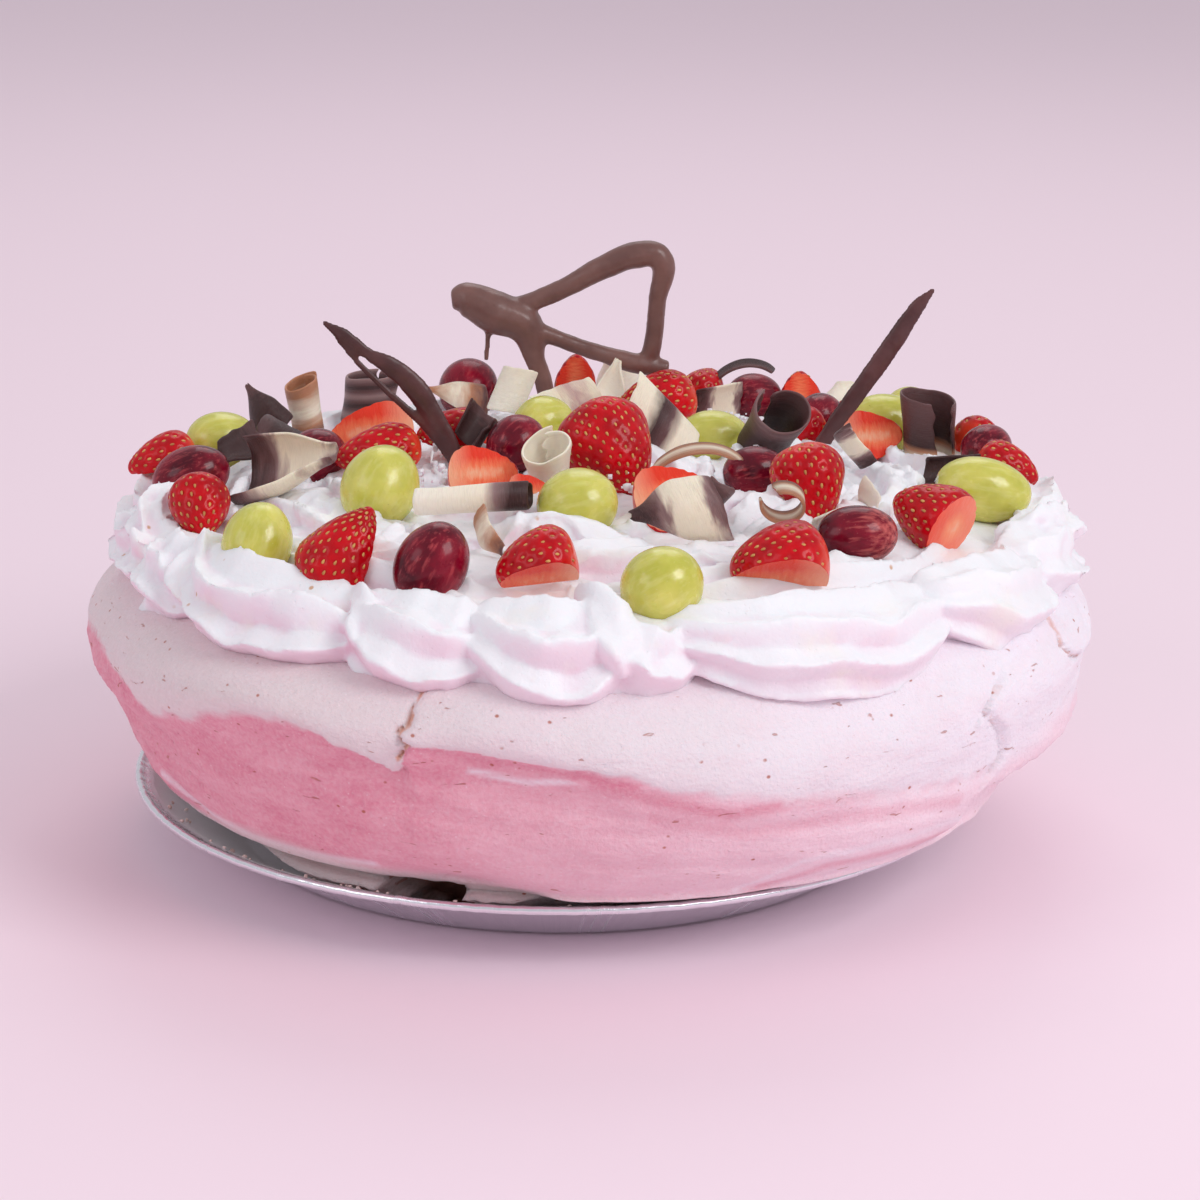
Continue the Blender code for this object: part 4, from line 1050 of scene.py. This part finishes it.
berries = {
    # x, y, lift, length, width, cut, bearing, elevation, spin
    "rows": ((-119, 23, 5, 23, 18, "half", 190, -12, 0), (-103, -32, 4, 22, 19, "whole", -80, -35, 0),
             (-56, 29, 6, 28, 20, "half", 184, -6, 125), (-53, 7, 4, 28, 19, "half", 184, -8, -25),
             (-58, -90, 5, 30, 28, "half", 0, 60, 32), (-5, -104, 4, 24, 25, "wedge", 184, -6, -8),
             (-23, -25, 4, 22, 19, "half", 6, 4, -125), (14, -12, 8, 34, 30, "whole", -55, -38, 0),
             (5, 116, 9, 18, 15, "slice", 90, 76, 0), (32, 82, 6, 28, 21, "whole", 184, -8, 0),
             (47, 111, 8, 18, 16, "whole", 60, 30, 0), (31, -49, 4, 25, 22, "half", 16, 10, -130),
             (71, -35, 7, 27, 23, "whole", -65, -62, 0), (60, -99, 4, 29, 28, "wedge", 178, 0, -4),
             (106, -50, 5, 27, 23, "stub", 150, 20, 0), (96, 50, 4, 21, 18, "half", 6, 4, -112),
             (76, 57, 3, 17, 15, "whole", 200, -10, 0), (78, 101, 9, 17, 15, "slice", 90, 62, 0),
             (95, 90, 5, 16, 14, "whole", 40, 10, 0), (131, 59, 5, 18, 16, "whole", 60, -10, 0),
             (134, 16, 6, 21, 17, "whole", -20, -15, 0), (-31, 27, 4, 25, 19, "half", 176, 0, -10),
             (-9, -42, 2, 15, 15, "half", 4, 6, -120)),
    # millimetres between seeds, the turn in radians from one to the next, and the pits that they sit in
    "seedGap": 3.1, "seedTurn": 2.39996, "dimple": 0.5, "dimpleWidth": 0.85, "taper": 0.54,
    "pointed": {5: 0.8}, "grid": (112, 70),
    "skin": tint(214, 2, 22), "skinDark": tint(166, 0, 14), "skinLight": tint(236, 74, 44),
    "flesh": tint(238, 52, 16), "fleshLight": tint(250, 124, 78), "core": tint(252, 192, 156),
    "seed": tint(222, 172, 96), "seedDark": tint(176, 104, 50),
}


def skinMaterial():
    material, tree, shader = makeMaterial("berrySkin", {
        "Roughness": 0.3, "Subsurface Weight": 0.15, "Subsurface Scale": 0.002,
        "Subsurface Radius": (1.0, 0.15, 0.1), "Coat Weight": 0.24, "Coat Roughness": 0.05,
        "Specular IOR Level": 0.15,
    })
    point = objectPoint(tree)
    clouds = noiseOf(tree, point, 120.0, 3.0)
    colour = tinged(tree, berries["skinDark"], berries["skin"], clouds, 0.32, 0.7)
    # painted shade: the skin darkens in the pits round the seeds
    colour = tinged(tree, colour, berries["skinDark"], attributeOf(tree, "dimple"), 0.3, 1.0, 0.5)
    colour = tinged(tree, colour, berries["skinLight"], attributeOf(tree, "shoulder"), 0.0, 1.0, 0.8)
    paint(tree, shader, colour)
    bumped(tree, shader, (noiseOf(tree, point, 600.0, 3.0), 0.00012))
    return material


def fleshMaterial():
    material, tree, shader = makeMaterial("berryFlesh", {
        "Roughness": 0.36, "Subsurface Weight": 0.25, "Subsurface Scale": 0.003,
        "Subsurface Radius": (1.0, 0.3, 0.2), "Coat Weight": 0.15, "Coat Roughness": 0.15,
        "Specular IOR Level": 0.3,
    })
    spot = attributeOf(tree, "spot", "Vector")
    z = parted(tree, spot)[2]
    reach = tree.nodes.new("ShaderNodeVectorMath")   # distance from the berry's long line
    reach.operation = "LENGTH"
    tree.links.new(stretched(tree, spot, (1.0, 1.0, 0.35)), reach.inputs[0])
    fibres = noiseOf(tree, stretched(tree, spot, (1.0, 1.0, 5.0)), 2.6, 4.0, 0.6)
    wobble = mathOf(tree, "ADD", reach.outputs["Value"], mathOf(tree, "MULTIPLY", fibres, 0.45))
    colour = ramped(tree, wobble, ((0.3, berries["core"]), (0.5, berries["fleshLight"]),
                                   (0.78, berries["flesh"]), (1.0, berries["flesh"])))
    pale = ranged(tree, z, -0.15, -0.85, 0.0, 0.75)   # towards the leafy end
    colour = mixed(tree, pale, colour, berries["core"])
    paint(tree, shader, colour)
    bumped(tree, shader, (fibres, 0.0005))
    return material


def seedMaterial():
    material, tree, shader = makeMaterial("berrySeed", {"Roughness": 0.38})
    tone = noiseOf(tree, objectPoint(tree), 260.0, 2.0)
    colour = tinged(tree, berries["seedDark"], berries["seed"], tone, 0.35, 0.65)
    paint(tree, shader, colour)
    return material


def berrySurface(x, y, z, length, width, taper):
    full = 1.16 - taper * (0.5 + 0.5 * z)
    return Vector((x * full * width * 0.5, y * full * width * 0.5, z * length * (0.5 if z > 0.0 else 0.42)))


def sliceOff(shape, point, normal):
    geometry = shape.verts[:] + shape.edges[:] + shape.faces[:]
    cut = bmesh.ops.bisect_plane(shape, geom=geometry, plane_co=Vector(point) * mm, plane_no=normal,
                                 clear_outer=True, dist=0.00001)
    rim = [item for item in cut["geom_cut"] if isinstance(item, bmesh.types.BMEdge)]
    for face in bmesh.ops.edgenet_fill(shape, edges=rim)["faces"]:
        face.material_index = 1
        face.smooth = False


def cutPlanes(length, width, cut):
    quarter = width * 0.25
    return {
        "whole": (),
        "half": (((quarter * 0.3, 0, 0), (1, 0, 0)),),
        "wedge": (((quarter * 0.7, 0, 0), (0.7, 0.7, 0)), ((quarter * 0.7, 0, 0), (0.7, -0.7, 0))),
        "slice": (((quarter * 0.8, 0, 0), (1, 0, 0)), ((-quarter * 0.6, 0, 0), (-1, 0, 0))),
        "stub": (((0, 0, -length * 0.22), (0, 0.25, -1)),),
    }[cut]


def seedPlaces(length, width, seed, taper):
    count = round(2.6 * (length + width) ** 2 / 4.0 / berries["seedGap"] ** 2)
    places = []
    for index in range(count):
        z = 1.0 - 2.0 * (index + 0.5) / count
        if not -0.9 < z < 0.965:
            continue
        turn = index * berries["seedTurn"] + seed + 0.04 * math.sin(index * 12.9)
        flat = math.sqrt(1.0 - z * z)
        x, y = flat * math.cos(turn), flat * math.sin(turn)
        place = berrySurface(x, y, z, length, width, taper)
        ahead = berrySurface(x, y, min(z + 0.02, 1.0), length, width, taper)
        outward = Vector((x, y, z * width / length + 0.12)).normalized()
        places.append((place, outward, ahead - place))
    return places


def berryShape(length, width, cut, seed, places, taper):
    shape = bmesh.new()
    columns, rows = berries["grid"]
    bmesh.ops.create_uvsphere(shape, u_segments=columns, v_segments=rows, radius=1.0)
    spot = shape.verts.layers.float_vector.new("spot")
    dimple = shape.verts.layers.float.new("dimple")
    shoulder = shape.verts.layers.float.new("shoulder")
    tree = KDTree(len(places))
    for index, (place, _, _) in enumerate(places):
        tree.insert(place, index)
    tree.balance()
    for vertex in shape.verts:
        x, y, z = vertex.co
        place = berrySurface(x, y, z, length, width, taper)
        outward = Vector((x, y, z * width / length + 0.1)).normalized()
        gap = tree.find(place)[2]
        pit = math.exp(-((gap / berries["dimpleWidth"]) ** 2))
        lump = 0.45 * noise.noise(place / 9.0 + Vector((seed, 0, 0)))
        place += outward * (lump - berries["dimple"] * pit + 0.1)
        vertex[spot] = Vector((place.x / (width * 0.5), place.y / (width * 0.5), place.z / (length * 0.5)))
        vertex[dimple] = pit
        vertex[shoulder] = 1.0 - smoothStep(-0.98, -0.62, z)
        vertex.co = place * mm
    smoothFaces(shape)
    for point, normal in cutPlanes(length, width, cut):
        sliceOff(shape, point, normal)
    bmesh.ops.recalc_face_normals(shape, faces=shape.faces)
    return shape


def seedTemplate():
    shape = bmesh.new()
    bmesh.ops.create_uvsphere(shape, u_segments=6, v_segments=4, radius=1.0)
    for vertex in shape.verts:
        x, y, z = vertex.co
        vertex.co = Vector((x * 0.44 * (1.0 - 0.35 * z), y * 0.28, z * 0.8)) * mm
    smoothFaces(shape)
    return meshOf("seed", shape)


def addSeeds(seeds, template, places, planes, matrix):
    for place, outward, towardsTip in places:
        if any((place - Vector(point)).dot(Vector(normal)) > -0.5 for point, normal in planes):
            continue
        side = outward.cross(towardsTip).normalized()
        tipward = side.cross(outward).normalized()
        turn = Matrix((side, outward, tipward)).transposed().to_4x4()
        sunk = Matrix.Translation((place - outward * 0.28) * mm)
        copy = template.copy()
        copy.transform(matrix @ sunk @ turn)
        seeds.from_mesh(copy)
        bpy.data.meshes.remove(copy)


def buildBerries():
    skin, flesh = skinMaterial(), fleshMaterial()
    seeds = bmesh.new()
    template = seedTemplate()
    for index, (x, y, lift, length, width, cut, *turns) in enumerate(berries["rows"], 1):
        taper = berries["pointed"].get(index, berries["taper"])
        places = seedPlaces(length, width, index * 0.7, taper)
        shape = berryShape(length, width, cut, index * 3.3, places, taper)
        layOnCream(shape, x, y, lift, *turns)
        newPiece(f"strawberry{index:02d}", shape, [skin, flesh], [f"strawberry_{index:02d}"])
        matrix = toppingMatrix(x, y, lift, *turns)
        addSeeds(seeds, template, places, cutPlanes(length, width, cut), matrix)
    print("strawberries made:", len(seeds.faces), "seed faces")
    newPiece("strawberrySeeds", seeds, [seedMaterial()])


chocolate = {
    "sheet": 0.85, "ragged": 0.5, "tighten": 0.3, "stepsPerTurn": 34, "stepsAlong": 14, "solidSteps": 9,
    # x, y, lift, length, radius, turns, colour, bearing, elevation, spin, flare up, flare down, ragged
    "curls": ((-94, 60, 11, 19, 7, 0.45, "dark", 170, 52, 70, -0.9, 0.2, 0.8),
              (-80, 72, 9, 21, 5.6, 1.1, "caramel", -110, 72, 0, 0.1, 0.0, 1.4),
              (-79, -12, 7, 29, 10, 0.6, "marbled", -6, 12, 40, -0.65, 0.1, 1.6),
              (-61, 93, 9, 15, 9, 1.0, "striped", 10, 80, -100, 0.1, 0.0, 1.2),
              (-24, -60, 8, 32, 4.2, 0.9, "tipped", 3, 3, 0, 0.05, 0.0, 0.6),
              (-3, -27, 8, 14, 7, 1.1, "white", -100, 62, 10, 0.2, -0.1, 2.4),
              (3, 70, 7, 20, 9, 0.24, "blushed", 20, 22, -80, 0.0, 0.0, 2.0),
              (31, 21, 9, 26, 11, 0.22, "banded", 180, 42, 118, 0.0, 0.0, 1.6),
              (32, -77, 10, 25, 10, 0.36, "marbled", 4, 6, -104, 0.1, -0.85, 1.6),
              (64, 22, 9, 19, 8, 0.98, "dark", -62, 48, 10, 0.15, 0.0, 1.6),
              (114, 49, 10, 21, 8.4, 0.9, "footed", -110, 76, 238, 0.1, 0.0, 1.8)),
    "scraps": ((-95, 17, 8, 14, 9, 0.3, "dark", 30, 30, 20, 0.2, -0.4, 2.0),
               (-84, 25, 5, 17, 8, 0.4, "dark", 150, 16, 120, 0.1, 0.0, 3.4),
               (-33, 81, 9, 20, 4.5, 0.42, "caramel", 188, 14, 110, -0.95, 0.2, 0.5),
               (-15, 76, 10, 15, 6, 0.4, "white", 30, 62, -120, 0.0, 0.0, 0.8),
               (19, 128, 8, 14, 8, 0.45, "white", -100, 68, 0, -0.4, 0.0, 1.0),
               (17, 90, 9, 18, 6, 0.35, "white", 60, 55, 10, -0.8, 0.2, 1.0),
               (-21, -76, 3, 13, 7, 0.24, "caramel", 120, 34, 90, -0.2, -0.6, 1.0),
               (-25, 13, 9, 12, 5, 0.6, "dark", 40, 50, 20, 0.1, 0.0, 1.2),
               (38, -35, 12, 6, 17, 0.29, "caramel", -90, -20, 180, 0.0, 0.0, 0.8),
               (60, 113, 15, 5, 13, 0.3, "dark", -90, -20, 180, 0.0, 0.0, 0.6),
               (51, 92, 6, 16, 8, 0.24, "marbled", 10, 10, 90, 0.0, 0.0, 1.6),
               (43, -58, 7, 11, 6, 0.4, "dark", 30, 45, -60, 0.1, 0.0, 1.4),
               (62, -65, 10, 7, 6.5, 0.85, "caramel", -90, -15, 60, 0.0, 0.0, 0.6),
               (88, 12, 7, 14, 6.5, 0.45, "marbled", 190, 58, 0, 0.1, -0.2, 1.2),
               (117, 8, 4, 17, 5, 0.6, "dark", 6, 4, 40, 0.0, 0.0, 1.0),
               (92, 103, 7, 16, 8, 0.4, "white", 60, 50, -150, -0.5, 0.2, 1.2),
               (74, -59, 2, 9, 6, 0.25, "white", 30, 10, 90, 0.0, 0.0, 1.2),
               (89, -33, 3, 10, 6, 0.25, "white", 120, 15, 90, 0.0, 0.0, 1.2)),
    "dark": tint(62, 34, 33), "darkSoft": tint(106, 72, 72), "grey": tint(150, 120, 118),
    "blush": tint(206, 170, 166), "white": tint(252, 240, 216), "cream": tint(255, 249, 232),
    "caramel": tint(190, 132, 98), "milk": tint(108, 74, 68), "milkLight": tint(132, 94, 86),
    "bitter": tint(70, 38, 38), "bitterLight": tint(100, 60, 60),
}


def shavingMaterial(name, stops, bandCount, stray):
    # bands of melted colour that run round the curl
    material, tree, shader = makeMaterial(name, {
        "Roughness": 0.36, "Subsurface Weight": 0.12, "Subsurface Scale": 0.002, "Specular IOR Level": 0.4,
    })
    roll = tree.nodes.new("ShaderNodeTexCoord").outputs["UV"]
    point = objectPoint(tree)
    upward = parted(tree, roll)[1]
    wave = noiseOf(tree, stretched(tree, roll, (0.8, 3.0, 1.0)), 2.2, 4.0, 0.5, 0.6)
    piece = noiseOf(tree, point, 20.0, 1.0)
    bands = mathOf(tree, "ADD", mathOf(tree, "MULTIPLY", upward, bandCount),
                   mathOf(tree, "MULTIPLY", wave, stray))
    bands = mathOf(tree, "ADD", bands, mathOf(tree, "MULTIPLY", piece, 1.4 * stray))
    pattern = mathOf(tree, "PINGPONG", mathOf(tree, "ADD", bands, -1.2 * stray), 1.0)
    colour = ramped(tree, pattern, stops)
    grain = noiseOf(tree, stretched(tree, roll, (1.0, 16.0, 1.0)), 6.0, 4.0)
    colour = tinged(tree, colour, chocolate["grey"], grain, 0.5, 0.8, 0.2)
    paint(tree, shader, colour)
    bumped(tree, shader, (grain, 0.0003), (noiseOf(tree, point, 800.0, 3.0), 0.00008))
    return material


def milkMaterial(name, deep, light):
    material, tree, shader = makeMaterial(name, {
        "Roughness": 0.34, "Subsurface Weight": 0.05, "Subsurface Scale": 0.001, "Coat Weight": 0.12,
        "Coat Roughness": 0.25, "Specular IOR Level": 0.4,
    })
    point = objectPoint(tree)
    haze = noiseOf(tree, point, 85.0, 4.0)
    bloom = noiseOf(tree, point, 420.0, 4.0, 0.65)
    colour = tinged(tree, deep, light, haze, 0.35, 0.7)
    paint(tree, shader, colour, ranged(tree, bloom, 0.3, 0.7, 0.28, 0.44))
    bumped(tree, shader, (haze, 0.0005), (bloom, 0.00008))
    return material


def curlMiddle(radius, turns):
    # the middle of the solid's own outline, so that both lie in the same place
    steps = max(4, round(chocolate["solidSteps"] * turns))
    knots = []
    for index in range(steps + 1):
        angle = math.tau * turns * (index / steps - 0.5)
        reach = radius * (1.0 - chocolate["tighten"] * (index / steps) * turns)
        knots.append((reach * math.cos(angle), reach * math.sin(angle)))
    return [sum(values) / len(knots) for values in zip(*knots)]


def curlShape(length, radius, turns, flareUp, flareDown, ragged, seed):
    middleX, middleY = curlMiddle(radius, turns)

    def place(across, upward):
        broad = noise.noise(Vector((across * 4.5, upward * 2.0, seed)))
        fine = noise.noise(Vector((across * 13.0, upward * 5.0, seed + 9.0)))
        rough = chocolate["ragged"] * ragged * (broad + 0.5 * fine)
        edge = smoothStep(0.5, 1.0, abs(upward - 0.5) * 2.0)
        share = across + 0.035 * ragged * noise.noise(Vector((upward * 5.0, across * 2.0, seed + 4.0)))
        angle = math.tau * turns * (share - 0.5) + 0.4 * (upward - 0.5) * math.sin(seed)
        reach = radius * (1.0 - chocolate["tighten"] * share * turns)
        reach *= 1.0 + flareUp * smoothStep(0.4, 1.0, upward) + flareDown * smoothStep(0.6, 0.0, upward)
        x, y = reach * math.cos(angle) - middleX, reach * math.sin(angle) - middleY
        return Vector((x, y, (upward - 0.5) * length + 0.25 * y + rough * edge)) * mm

    shape = bmesh.new()
    shape.loops.layers.uv.new("roll")
    mappedGrid(shape, max(14, round(chocolate["stepsPerTurn"] * turns)), chocolate["stepsAlong"], place)
    smoothFaces(shape)
    return shape


def thickened(helper):
    wall = helper.modifiers.new("wall", "SOLIDIFY")
    wall.thickness = chocolate["sheet"] * mm
    wall.offset = 0.0
    wall.use_even_offset = True
    soft = helper.modifiers.new("soft", "SUBSURF")
    soft.levels = soft.render_levels = 1


def shavingLooks():
    # colour stops from one end of the bands to the other, how many bands there are and how far they stray
    dark, darkSoft, grey = chocolate["dark"], chocolate["darkSoft"], chocolate["grey"]
    white, ivory, caramel = chocolate["white"], chocolate["cream"], chocolate["caramel"]
    return {
        "dark": (((0.0, dark), (0.4, dark), (0.7, darkSoft), (0.95, grey)), 0.7, 0.6),
        "white": (((0.0, ivory), (0.6, white), (0.85, white), (0.98, caramel)), 0.5, 0.5),
        "blushed": (((0.0, ivory), (0.35, white), (0.55, chocolate["blush"]), (0.9, white)), 1.0, 0.5),
        "caramel": (((0.0, darkSoft), (0.24, caramel), (0.5, white), (0.85, caramel)), 1.0, 0.4),
        "marbled": (((0.1, dark), (0.34, darkSoft), (0.5, grey), (0.72, white)), 1.7, 0.8),
        "striped": (((0.1, dark), (0.5, darkSoft), (0.9, grey)), 5.0, 0.4),
        "tipped": (((0.0, ivory), (0.6, white), (0.72, grey), (0.84, dark)), 1.0, 0.12),
        "banded": (((0.3, white), (0.45, darkSoft), (0.6, dark), (0.76, white)), 1.0, 0.15),
        "footed": (((0.06, white), (0.16, caramel), (0.26, dark), (0.9, darkSoft)), 1.0, 0.15),
    }


def buildCurls():
    shavings = {kind: shavingMaterial(f"{kind}Shaving", *look) for kind, look in shavingLooks().items()}
    for kind, rows in (("curl", chocolate["curls"]), ("scrap", chocolate["scraps"])):
        for index, row in enumerate(rows, 1):
            x, y, lift, length, radius, turns, colour, bearing, elevation, spin, *edges = row
            shape = curlShape(length, radius, turns, *edges, index * 5.7)
            layOnCream(shape, x, y, lift, bearing, elevation, spin)
            nodes = [f"chocolate_curl_{index:02d}"] if kind == "curl" else []
            name = f"chocolate{kind.title()}{index:02d}"
            thickened(newPiece(name, shape, [shavings[colour]], nodes))
    print("chocolate curls made")


piped = {
    # where each piece stands from front to back, and how flat it is; every second strand lies a step behind
    "planes": {"loop": 98.0, "left": 12.0, "right": 45.0},
    "flatness": {"loop": 1.0, "left": 0.4, "right": 0.4},
    "strandStep": 0.4, "voxel": 0.6, "smoothings": 5,
    # x, height, radius of each strand
    "loop": (((-35, 141.5, 3.0), (-31, 141.8, 5.6), (-21, 137.5, 7.2), (-12, 133.5, 6.2), (-8, 122, 3.2),
              (-5, 113, 2.8), (-3, 100, 2.6)),
             ((-18, 136.5, 4.5), (-8, 141.5, 3.1), (1, 145.5, 3.1), (13, 152, 3.9), (24, 156.4, 4.3),
              (31.5, 155.6, 4.0), (31, 142, 2.9), (29, 124, 3.0), (27.5, 120, 2.4)),
             ((-14, 134, 4.0), (-7, 131.3, 3.0), (1, 128.3, 2.6), (13, 124.3, 2.7), (26, 120.8, 3.4),
              (35, 119.6, 2.6)),
             ((-23.2, 134, 1.4), (-23.6, 127, 0.9), (-24, 121.5, 0.8))),
    "left": (((-70.5, 151, 0.8), (-64.5, 147.2, 2.2), (-57, 141.5, 2.0), (-50, 137.5, 3.1), (-43, 131, 3.6),
              (-38, 123, 3.2), (-33, 114.5, 2.7), (-28, 102, 2.2)),
             ((-66.5, 147, 1.2), (-60, 138.8, 1.2), (-52.5, 131, 1.3), (-44, 123.3, 1.5),
              (-37.5, 116.5, 1.8), (-31.5, 108, 1.6))),
    "right": (((114, 156, 0.7), (109.5, 151, 2.4), (103.5, 141.5, 3.1), (97, 131.5, 3.1),
               (89.5, 120.5, 2.9), (81.5, 108, 2.6), (77, 98, 2.2)),),
}


def strandShape(name):
    plane, flatness = piped["planes"][name], piped["flatness"][name]
    joined = bmesh.new()
    for index, knots in enumerate(piped[name]):
        curve = bpy.data.curves.new("strand", "CURVE")
        curve.dimensions = "3D"
        curve.bevel_depth = mm
        curve.bevel_resolution = 4
        curve.resolution_u = 10
        curve.use_fill_caps = True
        spline = curve.splines.new("BEZIER")
        spline.bezier_points.add(len(knots) - 1)
        for knot, (x, height, radius) in zip(spline.bezier_points, knots):
            knot.co = Vector((x, plane + (piped["strandStep"] if index % 2 else 0.0), height)) * mm
            knot.radius = radius
            knot.handle_left_type = "AUTO"
            knot.handle_right_type = "AUTO"
        mesh = appliedMesh(curve)
        joined.from_mesh(mesh)
        bpy.data.meshes.remove(mesh)
    bmesh.ops.remove_doubles(joined, verts=joined.verts, dist=0.00001)
    bmesh.ops.recalc_face_normals(joined, faces=joined.faces)
    for vertex in joined.verts:
        vertex.co.y = plane * mm + (vertex.co.y - plane * mm) * flatness
    shape = melted(joined, piped["voxel"])
    for _ in range(piped["smoothings"]):
        smoothPoints(shape, 0.5)
    shape.normal_update()
    for vertex in shape.verts:
        place = vertex.co / mm
        swell = 0.22 * noise.noise(place / 5.0) + 0.1 + 0.06 * noise.noise(place / 1.6)
        vertex.co += vertex.normal * swell * mm
    smoothFaces(shape)
    return shape


def buildPiped():
    brown = milkMaterial("milkChocolate", chocolate["milk"], chocolate["milkLight"])
    bitter = milkMaterial("bladeChocolate", chocolate["bitter"], chocolate["bitterLight"])
    for name, material, node in (("loop", brown, "chocolate_loop"), ("left", bitter, "chocolate_blade_left"),
                                 ("right", bitter, "chocolate_blade_right")):
        pieceName = "chocolateLoop" if name == "loop" else f"chocolateBlade{name.title()}"
        newPiece(pieceName, strandShape(name), [material], [node])
    print("piped chocolate made")


crumbs = {
    "count": 60, "seed": 11, "bearing": (-112.0, 26.0), "radius": (113.0, 122.0), "size": (0.25, 0.85),
    "crumb": tint(238, 206, 196), "sugar": tint(250, 232, 226),
}


def crumbMaterial():
    material, tree, shader = makeMaterial("crumb", {"Roughness": 0.8})
    tone = noiseOf(tree, objectPoint(tree), 600.0, 3.0)
    colour = tinged(tree, crumbs["crumb"], crumbs["sugar"], tone, 0.3, 0.7)
    paint(tree, shader, colour)
    bumped(tree, shader, (tone, 0.0003))
    return material


def addGrain(shape, place, size, rng):
    made = bmesh.ops.create_icosphere(shape, subdivisions=1, radius=size * mm)["verts"]
    for vertex in made:
        vertex.co *= rng.uniform(0.65, 1.2)
    angle = rng.uniform(0, math.tau)
    turn = Matrix.Rotation(angle, 4, Vector((rng.random(), rng.random(), 0.3)).normalized())
    bmesh.ops.transform(shape, matrix=Matrix.Translation(place * mm) @ turn, verts=made)


def buildCrumbs():
    rng = random.Random(crumbs["seed"])
    shape = bmesh.new()
    for _ in range(crumbs["count"]):
        angle = math.radians(rng.gauss(*crumbs["bearing"]))
        radius = rng.uniform(*crumbs["radius"])
        height = 2.0 + (radius - tray["baseRadius"]) * 0.63 + 0.6
        place = Vector((radius * math.cos(angle), radius * math.sin(angle), height))
        addGrain(shape, place, rng.uniform(*crumbs["size"]), rng)
    newPiece("meringueCrumbs", shape, [crumbMaterial()])
    print("crumbs made")


studio = {
    "place": (0.0, -0.955, 0.3415), "yaw": 0.735, "pitch": 15.9, "roll": 0.55, "lens": 99.63,
    "floor": tint(248, 226, 236), "floorSize": 8.0, "floorDrop": 0.0002,
    "ambient": (0.96, 0.94, 1.0), "ambientStrength": 0.6,
    # place, aim, size, watts, colour
    "lights": (((1.15, -1.0, 1.25), (0.02, 0.0, 0.08), 0.9, 14.2, (0.99, 0.99, 1.0)),
               ((-1.3, -0.9, 1.0), (0.0, 0.0, 0.08), 0.8, 3.2, (1.0, 0.95, 1.0)),
               ((0.1, 1.2, 1.5), (0.0, 0.0, 0.1), 1.0, 5.0, (1.0, 0.98, 0.98))),
}


def buildFloor():
    shape = bmesh.new()
    bmesh.ops.create_grid(shape, x_segments=1, y_segments=1, size=studio["floorSize"])
    bmesh.ops.translate(shape, vec=(0.0, 0.0, -studio["floorDrop"]), verts=shape.verts)
    mesh = meshOf("floor", shape)
    mesh.materials.append(makeMaterial("floorPaper", {"Base Color": studio["floor"], "Roughness": 0.7})[0])
    floor = bpy.data.objects.new("floor", mesh)
    bpy.context.scene.collection.objects.link(floor)


def buildLights():
    world = bpy.data.worlds.new("studio")
    bpy.context.scene.world = world
    world.use_nodes = True
    backdrop = world.node_tree.nodes["Background"]
    backdrop.inputs["Color"].default_value = (*studio["ambient"], 1.0)
    backdrop.inputs["Strength"].default_value = studio["ambientStrength"]
    for index, (place, target, size, watts, colour) in enumerate(studio["lights"]):
        lamp = bpy.data.lights.new(f"softLight{index}", "AREA")
        lamp.size = size
        lamp.energy = watts
        lamp.color = colour
        holder = bpy.data.objects.new(f"softLight{index}", lamp)
        holder.location = place
        holder.rotation_euler = (Vector(target) - Vector(place)).to_track_quat("-Z", "Y").to_euler()
        bpy.context.scene.collection.objects.link(holder)


def buildCamera():
    yaw, pitch, roll = (math.radians(studio[name]) for name in ("yaw", "pitch", "roll"))
    forward = Vector((math.sin(yaw) * math.cos(pitch), math.cos(yaw) * math.cos(pitch), -math.sin(pitch)))
    right = Vector((math.cos(yaw), -math.sin(yaw), 0.0))
    up = right.cross(forward)
    right, up = math.cos(roll) * right + math.sin(roll) * up, math.cos(roll) * up - math.sin(roll) * right
    lens = bpy.data.cameras.new("camera")
    lens.lens = studio["lens"]
    lens.sensor_width = 36.0
    camera = bpy.data.objects.new("camera", lens)
    turn = Matrix((right, up, -forward)).transposed().to_4x4()
    camera.matrix_world = Matrix.Translation(studio["place"]) @ turn
    bpy.context.scene.collection.objects.link(camera)
    bpy.context.scene.camera = camera
    bpy.context.scene.view_settings.view_transform = "Standard"


buildFloor()
buildLights()
buildCamera()
print("studio made")
buildTray()
buildMeringue()
buildCream()
buildGrapes()
buildBerries()
buildCurls()
buildPiped()
buildCrumbs()
